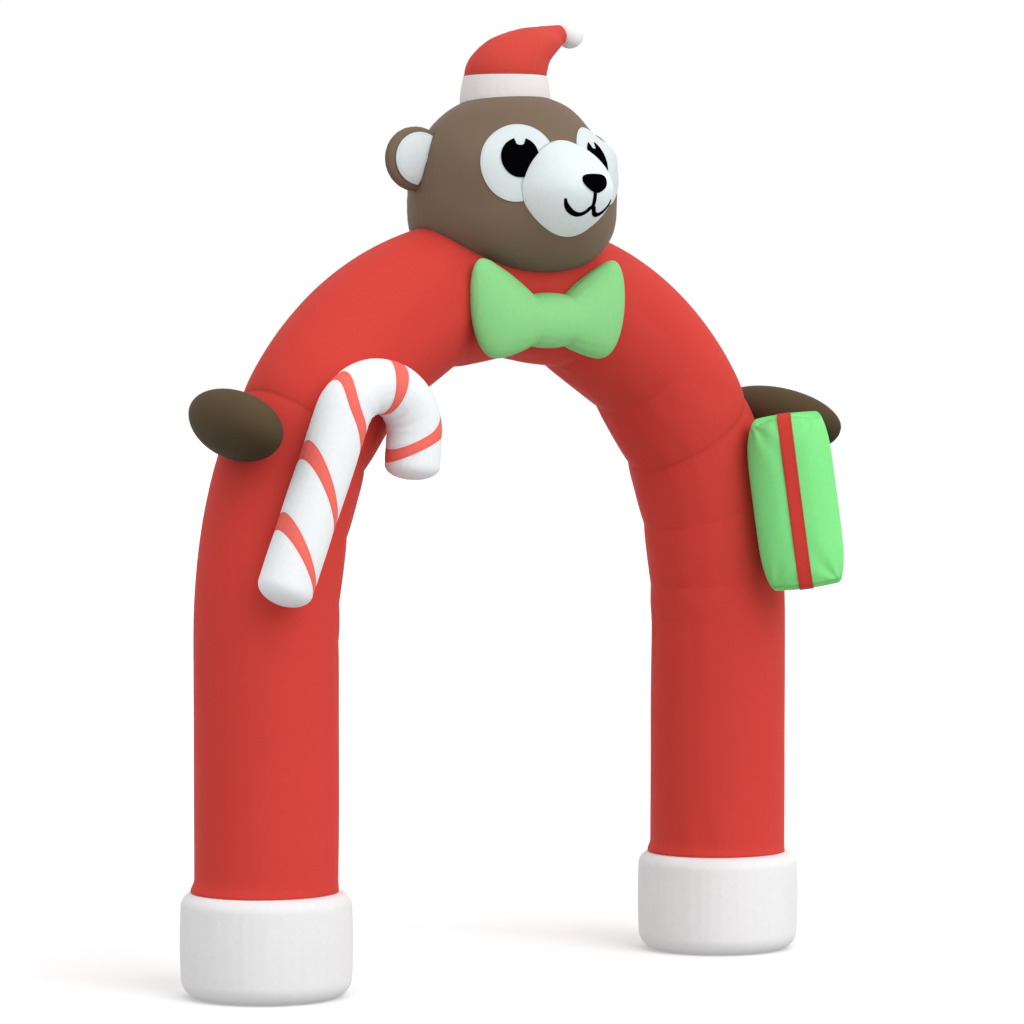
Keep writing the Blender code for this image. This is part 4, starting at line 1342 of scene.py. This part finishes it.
# ---------------------------------------------------------------- the hat
def build_band(material):
    """A soft white band with a folded upper edge. Its lower edge rests on the head's crown."""
    high = BAND_TOP - BAND_EDGE
    profile = np.concatenate([
        [(radius, BAND_TOP) for radius in (POLE, 0.06, 0.09)],
        arc(BAND_RADIUS_HIGH - BAND_EDGE, high, BAND_EDGE, 90, 0, 7),
        stretch((BAND_RADIUS_HIGH, high), (BAND_RADIUS_LOW, BAND_BOTTOM), 24, BAND_BULGE)[1:],
    ])
    far = travelled(profile)

    def skin(share, turn):
        radius, height = (np.interp(share * far[-1], far, column) for column in profile.T)
        return turned(radius, height, turn, 0, FRAME_Y + HAT_Y)

    rings, seam = trimmed(skin, HEAD, even_turns(160), 60, 8, crowd=1.0)
    moved, uv = sewn_on(rings, seam, 41, groove=0.0, gather=0.0012, spread=0.012, wave=0.028)
    moved[..., 2] = np.minimum(moved[..., 2], BAND_TOP)
    add_piece("hat_band", moved, uv, material)


def build_crown(material):
    """The red cone, bent over to the side, with soft folds inside the bend."""
    rows = [  # x, height, radius, lean in degrees
        (0.000, BAND_TOP + GAP, 0.1046, 0),
        (0.005, 2.2720, 0.1035, 3),
        (0.018, 2.2960, 0.0985, 6),
        (0.049, 2.3235, 0.0880, 12),
        (0.095, 2.3460, 0.0675, 19),
        (0.138, 2.3570, 0.0415, 32),
        (0.164, 2.3615, 0.0290, 50),
        (0.178, 2.3645, 0.0235, 70),
    ]
    share = np.linspace(0, 1, 100)
    x, height, radius, lean = spline(rows, share * (len(rows) - 1)).T[..., None]
    turns, lean = even_turns(160), np.radians(lean)
    fold = Ripples(43, (2, 3, 5)).at(turns + 0.4) * CROWN_FOLD
    radius = radius + fold * np.sin(np.pi * share[:, None]) ** 0.5
    out, deep = radius * np.cos(turns), FRAME_Y + HAT_Y + radius * np.sin(turns)
    rings = np.stack([x + out * np.cos(lean), deep, height - out * np.sin(lean)], -1)
    moved, uv = sewn(rings, (0,), 44, (80,), groove=0.0012, gather=0.0012)
    moved[0] = rings[0]
    end = moved[-1].mean(0)
    hollow = [end + (moved[-1] - end) * share for share in (0.84, 0.68, 0.52, 0.36, 0.2)]
    moved = cleared(np.concatenate([moved, hollow]), POMPOM, gap=2 * GAP)
    uv = [np.concatenate([part, np.repeat(part[-1:], len(hollow), 0)]) for part in uv]
    add_piece("hat_crown", moved, uv, material)


POMPOM = Egg(np.array(POMPOM_MIDDLE) + (0, FRAME_Y, 0), (POMPOM_RADIUS,) * 3)


def build_pompom(material):
    shares, turns = np.linspace(0.02, 0.98, 56)[:, None], even_turns(96)
    rings = POMPOM.skin(ball_point((1.0, 0, 0), shares, turns))
    stitching = dict(groove=0.0008, width=0.004, gather=0.0003, spread=0.01)
    moved, uv = sewn(rings, (), 45, (0, 32, 64), **stitching)
    add_piece("pompom", moved, uv, material)


# ---------------------------------------------------------------- pieces on the arch
def build_bow(material):
    """Two puffed lobes drawn in by the knot between them, more at its edges than in front."""
    knot = [  # x, top, bottom, half thickness
        (0.000, 1.7070, 1.5695, 0.0515),
        (0.014, 1.7068, 1.5697, 0.0516),
        (0.028, 1.7060, 1.5705, 0.0518),
        (0.042, 1.7045, 1.5725, 0.0521),
        (NOTCH_X, 1.7012, 1.5765, 0.0525),
    ]
    lobe = [
        (NOTCH_X, 1.7012, 1.5765, 0.0525),
        (0.066, 1.7100, 1.5700, 0.0531),
        (0.090, 1.7290, 1.5600, 0.0545),
        (0.130, 1.7550, 1.5480, 0.0560),
        (0.165, 1.7740, 1.5440, 0.0520),
        (0.192, 1.7870, 1.5540, 0.0430),
        (0.215, 1.7870, 1.5830, 0.0310),
        (0.2305, 1.7660, 1.6250, 0.0190),
        (0.2375, 1.7300, 1.6700, 0.0080),
    ]
    inner = spline(knot, np.linspace(0, len(knot) - 1, 22))
    outer = spline(lobe, np.linspace(0, len(lobe) - 1, 86)[1:])
    half = np.concatenate([inner, outer])
    mirrored = half[:0:-1] * (-1, 1, 1, 1)
    x, top, bottom, thick = (column[:, None] for column in np.concatenate([mirrored, half]).T)
    turns = even_turns(200)
    past = np.abs(np.abs(x) - NOTCH_X)
    pinched = np.abs(np.sin(turns)) ** 3
    blur = bell(x - x.T, NOTCH_ROUND) * np.gradient(x, axis=0).T
    blur = blur / blur.sum(1, keepdims=True)

    def eased(rows, share):
        """Rows with the corner at the notch rounded off."""
        return rows + share * bell(past, NOTCH_REACH) * (blur @ rows - rows)

    middle = eased((top + bottom) / 2, 1 - pinched)
    high = middle + eased((top - bottom) / 2, 1 - pinched) * np.sin(turns)
    deep = FRAME_Y + BOW_Y + eased(thick, 1) * np.cos(turns)
    rings = np.stack([np.broadcast_to(x, high.shape), deep, high], -1)
    gathers = Ripples(51, (9, 13, 18, 23)).at(turns + 0 * x, (x > 0).astype(int))
    depth = BOW_GATHER * hump(past, BOW_GATHER_AWAY) * (0.45 - 0.55 * gathers)
    depth = depth * (0.08 + 0.92 * pinched)
    rings = rings - grid_normals(rings) * depth[..., None]
    moved, uv = sewn(rings, (), 53, (0,), groove=0.0008, width=0.004, gather=0.0005)
    moved = cleared(moved, ARCH, HEAD)
    add_piece("bow_tie", moved, uv, material)


CANE_BANDS = (  # each edge of a red band: middle along the axis, slant, where it peaks
    ((0.0574, 0.0615, -15), (0.0910, 0.0738, -14)),
    ((0.2253, 0.0734, -11), (0.2632, 0.0844, -10)),
    ((0.4132, 0.0685, 2), (0.4524, 0.0503, 2)),
    ((0.5858, -0.0111, 93), (0.6119, -0.0035, 52)),
    ((0.7455, -0.0415, 2), (0.7828, -0.0365, 13)),
)


def cane_line():
    """The x and z of the cane's axis: a shaft, a bend and a short end."""

    def way(turn):
        return np.stack([np.sin(turn), np.cos(turn)], -1)

    lean = np.radians(CANE_LEAN)
    turn = lean + np.radians(CANE_BEND) * np.linspace(0, 1, 240)
    start = np.array([CANE_START[0], CANE_START[2]])
    low, shaft = start - CANE_LOW_ROUND * way(lean), start + CANE_SHAFT * way(lean)
    bend = shaft + CANE_BEND_RADIUS * (way(lean + np.pi / 2) - way(turn + np.pi / 2))
    end = bend[-1] + (CANE_END + CANE_HIGH_ROUND) * way(turn[-1])
    return np.concatenate([[low], bend, [end]]).T


def band_edge(s, phi):
    """The distance from the edge of the nearest red band, negative inside it."""
    s = s - CANE_LOW_ROUND
    nearest = np.full(np.broadcast(s, phi).shape, 1.0)
    for band in CANE_BANDS:
        low, high = (at + slant * np.cos(phi + np.radians(peak)) for at, slant, peak in band)
        nearest = np.minimum(nearest, np.maximum(low - s, s - high))
    return nearest


def build_cane(material):
    """A bent tube of white and red panels, with round ends, held against the left leg."""
    x, z = cane_line()
    length = np.hypot(np.diff(x), np.diff(z)).sum()
    gathers, folds = Ripples(61, (11, 17, 24)), Drift(62, 0.16)

    def radius(s, phi):
        s, phi = np.broadcast_arrays(s, phi)
        low = np.clip(1 - s / CANE_LOW_ROUND, 0, 1)
        high = np.clip(1 - (length - s) / CANE_HIGH_ROUND, 0, 1)
        ends = np.sqrt(np.maximum(1 - low ** CANE_ROUNDNESS[0], 0))
        ends = ends * np.sqrt(np.maximum(1 - high ** CANE_ROUNDNESS[1], 0))
        away = np.abs(band_edge(s, phi))
        gather = 0.5 - 0.5 * gathers.at(phi, (s / CANE_PANEL).astype(int))
        groove = CANE_GROOVE[0] * bell(away, CANE_GROOVE[1], 1.5)
        groove = groove + CANE_GATHER[0] * hump(away, CANE_GATHER[1]) * gather
        start, end = CANE_CREASED
        on_bend = smooth_step((s - start) / 0.05) * smooth_step((end - s) / 0.05)
        wave = 0.5 + 0.5 * np.cos(FULL_TURN * s / CANE_CREASE_STEP + 0.6 * np.sin(3 * phi))
        creases = CANE_CREASE * np.maximum(-np.cos(phi), 0) * on_bend * wave
        spot = np.stack([s, CANE_RADIUS * np.cos(phi), CANE_RADIUS * np.sin(phi)], -1)
        on_panels = np.clip(3 * (1 - np.maximum(low, high)), 0, 1)
        uneven = CANE_UNEVEN * folds.at(spot) - groove - creases
        return CANE_RADIUS * ends + uneven * on_panels

    def round_end(size, rows):
        return size * (1 - np.cos(np.linspace(0.12, 1, rows) * np.pi / 2))

    step = 0.0042
    between = np.arange(CANE_LOW_ROUND + step, length - CANE_HIGH_ROUND - step / 2, step)
    low, high = round_end(CANE_LOW_ROUND, 14), length - round_end(CANE_HIGH_ROUND, 10)[::-1]
    places, turns = np.concatenate([low, between, high]), even_turns(112)
    cane = Tube(x, z, FRAME_Y + CANE_START[1], radius)
    rings = cleared(cane.skin(places[:, None], turns), ARCH)
    around = np.append(turns, FULL_TURN)
    edge = band_edge(places[:, None], around)
    uv = (np.broadcast_to(around * CANE_RADIUS, edge.shape), np.abs(edge))
    add_piece("candy_cane", rings, uv, material, stripe=edge)


def gift_end(place):
    """0 along most of the gift, then up to 1 where an end is turned over."""
    return np.clip((np.abs(place) - 0.955) / 0.045, 0, 1) ** 2


def gift_width(place, side):
    """Half width on one side of the gift, from its lower end (-1) to its upper end (1)."""
    lower, upper = GIFT_TAPER[side]
    taper = np.where(place > 0, upper, lower)
    width = GIFT_HALF[0] * (1 - taper * np.abs(place) ** 5)
    return width * (1 - (1 - GIFT_END[0]) * gift_end(place))


def gift_depths(place):
    """Half thickness behind the gift's middle, and in front of it."""
    thick = (1 - GIFT_THINNING * np.abs(place) ** 5) * (1 - (1 - GIFT_END[1]) * gift_end(place))
    return thick * GIFT_HALF[1], thick * GIFT_FRONT


def gift_places(count):
    """Places from the gift's lower end (-1) to its upper end (1), closer together at both."""
    quarter = np.pi / 2 * 0.94
    return np.sin(np.linspace(-quarter, quarter, count)) / np.sin(quarter)


def in_gift(points):
    """Points of the gift's own frame, in the row's frame."""
    turn = turn_matrix(GIFT_TURN, 2) @ turn_matrix(GIFT_LEAN, 1)
    return np.array(GIFT_MIDDLE) + (0, FRAME_Y, 0) + points @ turn.T


def gift_puckers(x, y, share):
    """Folds in the front of the gift that fan out from its four corners."""
    off_x = (GIFT_HALF[0] * 0.80 - np.abs(x)) / 0.05
    off_z = GIFT_HALF[2] * (1 - np.abs(share)) / 0.07
    angle = np.arctan2(off_z, np.maximum(off_x, -0.2))
    far = np.hypot(off_x, off_z)
    fan = np.cos(GIFT_FAN * angle + 0.8 * np.sign(x) + 0.5 * np.sign(share))
    return GIFT_PUCKER * fan * far * np.exp(1 - far - (far / 2.2) ** 2) * smooth_step(-y / 0.02)


def build_gift(material, paw):
    """A boxy cushion, pulled in along its middle by the ribbon."""
    places = gift_places(131)
    behind, before = (half[:, None] for half in gift_depths(places))
    left, right = (gift_width(places, side)[:, None] for side in (-1, 1))
    round_x, round_y = circle(176)
    square = np.where(round_y < 0, GIFT_SQUARENESS[1], GIFT_SQUARENESS[0])
    reach = rounded(round_x, round_y, square)
    across, deep = round_x * reach, round_y * reach
    x = np.where(across > 0, right, left) * across
    beside = smooth_step((np.abs(x) - RIBBON_WIDTH * 0.45) / 0.035)
    crown = GIFT_CROWN * beside * (1 - np.abs(places[:, None]) ** 3) * np.abs(round_y)
    y = np.where(deep < 0, before, behind) * deep + np.sign(deep) * crown
    y = y + gift_puckers(x, y, places[:, None])
    corner = np.abs(across) ** 2.5 * np.maximum(-round_y, 0) ** 0.5
    fall = np.where(places > 0, GIFT_CORNER_FALL[1], GIFT_CORNER_FALL[0]) * np.abs(places) ** 9
    z = GIFT_HALF[2] * places[:, None] * (1 - corner * fall[:, None])
    rings = np.stack([x, y, z], -1)
    share = np.array([0.94, 0.8, 0.6, 0.4, 0.2, 0.06])[:, None, None]
    rise = (GIFT_HALF[2] * (1 - share) + GIFT_DOME * (1 - share**2)) * (0, 0, 1)
    low, high = rings[0] * share - rise, rings[-1] * share + rise
    rings = np.concatenate([low[::-1], rings, high])
    seams = [len(share) + index_at(places, spot) for spot in (-GIFT_SEAM, GIFT_SEAM)]
    stitching = dict(groove=0.0012, width=0.005, gather=0.0014, spread=0.018, wave=0.036)
    moved, uv = sewn(rings, seams, 71, **stitching)
    under = (np.abs(moved[..., 0]) < RIBBON_WIDTH * 0.6) & (moved[..., 1] < 0)
    moved[..., 1] = np.where(under, np.maximum(moved[..., 1], rings[..., 1]), moved[..., 1])
    moved = cleared(in_gift(moved), ARCH, paw)
    add_piece("gift", moved, uv, material)


def build_ribbon(material):
    """A strap down the front of the gift that turns over its top and bottom edges."""
    places = gift_places(121)
    height, deep = places * GIFT_HALF[2], -gift_depths(places)[1]
    tuck = np.linspace(1, RIBBON_TURN_IN, 6)[1:]
    over = GIFT_HALF[2] + GIFT_DOME * (1 - tuck**2)
    low = np.stack([-over, deep[0] * tuck], -1)[::-1]
    high = np.stack([over, deep[-1] * tuck], -1)
    path = np.concatenate([low, np.stack([height, deep], -1), high])
    along = unit(np.gradient(path, axis=0))
    out = np.stack([along[:, 1], -along[:, 0]], -1)
    across, up = circle(28)
    half, thick = RIBBON_WIDTH / 2, RIBBON_THICKNESS / 2
    squared = rounded(across, up, 8)
    x, lift = half * across * squared, RIBBON_GAP + thick + thick * up * squared
    z, y = (path[:, None] + out[:, None] * lift[:, None]).transpose(2, 0, 1)
    far = travelled(path)
    edge = half - np.abs(np.append(x, x[0])) + 0 * far[:, None]
    uv = (far[:, None] + 0 * edge, np.abs(edge))
    add_piece("gift_ribbon", in_gift(np.stack([x + 0 * y, y, z], -1)), uv, material)
    cuts["gift_ribbon"] = dict(flat=(RIBBON_WIDTH, far[-1]), rests_on=["gift"])


def paw_egg(side):
    axes = turn_matrix(side * PAW_SPLAY, 2) @ turn_matrix(PAW_DROP, 0)
    middle = (side * PAW_MIDDLE[0], FRAME_Y + PAW_MIDDLE[1], PAW_MIDDLE[2])
    return Egg(middle, PAW_HALF, down=PAW_DOWN, axes=axes)


def build_paw(name, side, material):
    paw = paw_egg(side)
    rings, seam = egg_rings(paw, ARCH, 150, 96, 12)
    add_piece(name, *sewn_on(rings, seam, 81 + side, gather=0.0012), material)
    return paw


# ---------------------------------------------------------------- build
smooth = dict(crinkle=0.0003, thread=0.94)  # pale cloth hardly shows its crinkles and thread
red = cloth("red_cloth", RED, seam_shade=0.96)
hat_red = cloth("hat_red_cloth", HAT_RED, seam_shade=0.94)
white = cloth("white_cloth", WHITE, seam_shade=0.95, **smooth)
trim_white = cloth("trim_white_cloth", TRIM_WHITE, seam_shade=0.95, **smooth)
pompom_white = cloth("pompom_cloth", POMPOM_WHITE, seam_shade=0.97, **smooth)
pale = cloth("pale_cloth", PALE, seam_shade=0.95, **smooth)
# painted light and shade on the muzzle: 13 % lighter at its bottom, 6 % darker at its top
muzzle_painted_light = (1.84, 2.06, 1.13, 0.94)
pale_painted_bright = cloth("muzzle_cloth", PALE_PAINTED_BRIGHT, seam_shade=0.97, fade=muzzle_painted_light, **smooth)
brown = cloth("brown_cloth", BROWN, sheen=0.06)
# painted shade and light on the paws: 38 % darker low down, 8 % lighter high up
dark_brown = cloth("dark_brown_cloth", DARK_BROWN, specular=0.03, fade=(1.31, 1.45, 0.62, 1.08))
black = cloth("black_cloth", BLACK, roughness=0.8, specular=0.0)
bow_green = cloth("bow_green_cloth", BOW_GREEN)
gift_green = cloth("gift_green_cloth", GIFT_GREEN)
ribbon_red = cloth("ribbon_red_cloth", RIBBON_RED)
candy = cloth("candy_cloth", CANE_WHITE, stripe=CANE_RED, seam_shade=0.97, thread=0.98)

build_arch(red)
build_foot("foot_left", -1, white)
build_foot("foot_right", 1, white)
build_head(brown)
build_muzzle(pale_painted_bright)
for end, side in (("left", -1), ("right", 1)):
    build_ear("ear_" + end, side, brown, pale)
    build_eye(end, side, pale, black)
build_nose(black)
build_mouth(black)
build_lip_line(black)
build_band(trim_white)
build_crown(hat_red)
build_pompom(pompom_white)
build_bow(bow_green)
build_cane(candy)
build_paw("paw_left", -1, dark_brown)
right_paw = build_paw("paw_right", 1, dark_brown)
build_gift(gift_green, right_paw)
build_ribbon(ribbon_red)

SLOTS = {
    "red_cloth": ("arch_tube", "hat_crown"),
    "white_cloth": ("foot_left", "foot_right", "hat_band", "pompom", "candy_cane"),
    "pale_grey_cloth": ("muzzle", "inner_ear_left", "inner_ear_right", "eye_left", "eye_right"),
    "brown_cloth": ("head", "ear_left", "ear_right"),
    "dark_brown_cloth": ("paw_left", "paw_right"),
    "black_cloth": ("pupil_left", "pupil_right", "nose", "mouth", "lip_line"),
    "bow_green_cloth": ("bow_tie",),
    "gift_green_cloth": ("gift",),
    "ribbon_red_cloth": ("gift_ribbon",),
}
for slot, names in SLOTS.items():
    for name in names:
        piece = pieces[name]
        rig.ride(piece, "root")
        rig.replaces(piece, name)
        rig.slot(piece, slot)
        if name in cuts:
            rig.sheet(piece, held="stretched", **cuts[name])
        else:
            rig.padded(piece, fill=0.95)


# ---------------------------------------------------------------- floor, light and camera
FLOOR_HALF = 60
FLOOR_WHITE = (0.99, 0.99, 0.99)
KEY = dict(heading=172, height=38, strength=1.3, softness=50)
LAMP_LEVEL = 0.79  # strength of the world's light at eye level
LAMP_SLOPE = 0.27  # and how much it gains straight above, or loses below
CAMERA_PLACE = (-6.870, -8.675, 1.5506)
CAMERA_HEADING = 38.225  # degrees from +Y toward +X
CAMERA_PITCH = -2.02
CAMERA_LENS = 155.74


def add_floor():
    corners = [(x * FLOOR_HALF, y * FLOOR_HALF, 0) for x, y in ((-1, -1), (1, -1), (1, 1), (-1, 1))]
    mesh = bpy.data.meshes.new("floor")
    mesh.from_pydata(corners, [], [(0, 1, 2, 3)])
    material = bpy.data.materials.new("floor_paint")
    nodes = Nodes(material)
    shader = nodes.tree.nodes["Principled BSDF"].inputs
    position = nodes.add("ShaderNodeTexCoord").outputs["Object"]
    tone = nodes.ramp(nodes.noise(position, 0.7), 0.2, 0.8, 0.985, 1.0)
    nodes.link(nodes.scaled(FLOOR_WHITE, tone), shader["Base Color"])
    shader["Roughness"].default_value = 0.9
    shader["Specular IOR Level"].default_value = 0.1
    mesh.materials.append(material)
    floor = placed("floor", mesh)
    floor.visible_diffuse = False  # it takes shadows, and the world's lower half lights from below
    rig.stage(floor)


def add_sun(name, heading, height, strength, softness):
    """A wide soft lamp far away, at a heading from +Y toward +X and a height, in degrees."""
    data = bpy.data.lights.new(name, "SUN")
    data.energy = strength
    data.angle = np.radians(softness)
    placed(name, data).rotation_euler = (np.radians(90 - height), 0, np.radians(180 - heading))


def add_camera():
    data = bpy.data.cameras.new("camera")
    data.lens = CAMERA_LENS
    data.sensor_width = 36
    data.clip_end = 200
    camera = placed("camera", data)
    camera.location = CAMERA_PLACE
    camera.rotation_euler = (np.radians(90 + CAMERA_PITCH), 0, -np.radians(CAMERA_HEADING))
    bpy.context.scene.camera = camera


def light_world():
    """White all round, but as a lamp it is softer, and weaker from below than from above."""
    world = bpy.data.worlds.new("studio")
    nodes = Nodes(world)
    way = nodes.split(nodes.add("ShaderNodeTexCoord").outputs["Generated"])
    lamp = nodes.math("MULTIPLY_ADD", way[2], LAMP_SLOPE, LAMP_LEVEL)
    seen = nodes.add("ShaderNodeLightPath").outputs["Is Camera Ray"]
    shown = nodes.add("ShaderNodeMix", {0: seen, 2: lamp, 3: 1.0}).outputs[0]
    sky = nodes.tree.nodes["Background"].inputs
    sky["Color"].default_value = (1, 1, 1, 1)
    nodes.link(shown, sky["Strength"])
    bpy.context.scene.world = world


bpy.context.scene.view_settings.view_transform = "Standard"
light_world()
add_floor()
add_sun("key", **KEY)
add_camera()

with open("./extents.json", "w") as size_file:
    json.dump({"cad": [list(c) for c in cad_box], "visual": [list(c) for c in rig.bounds()]}, size_file)
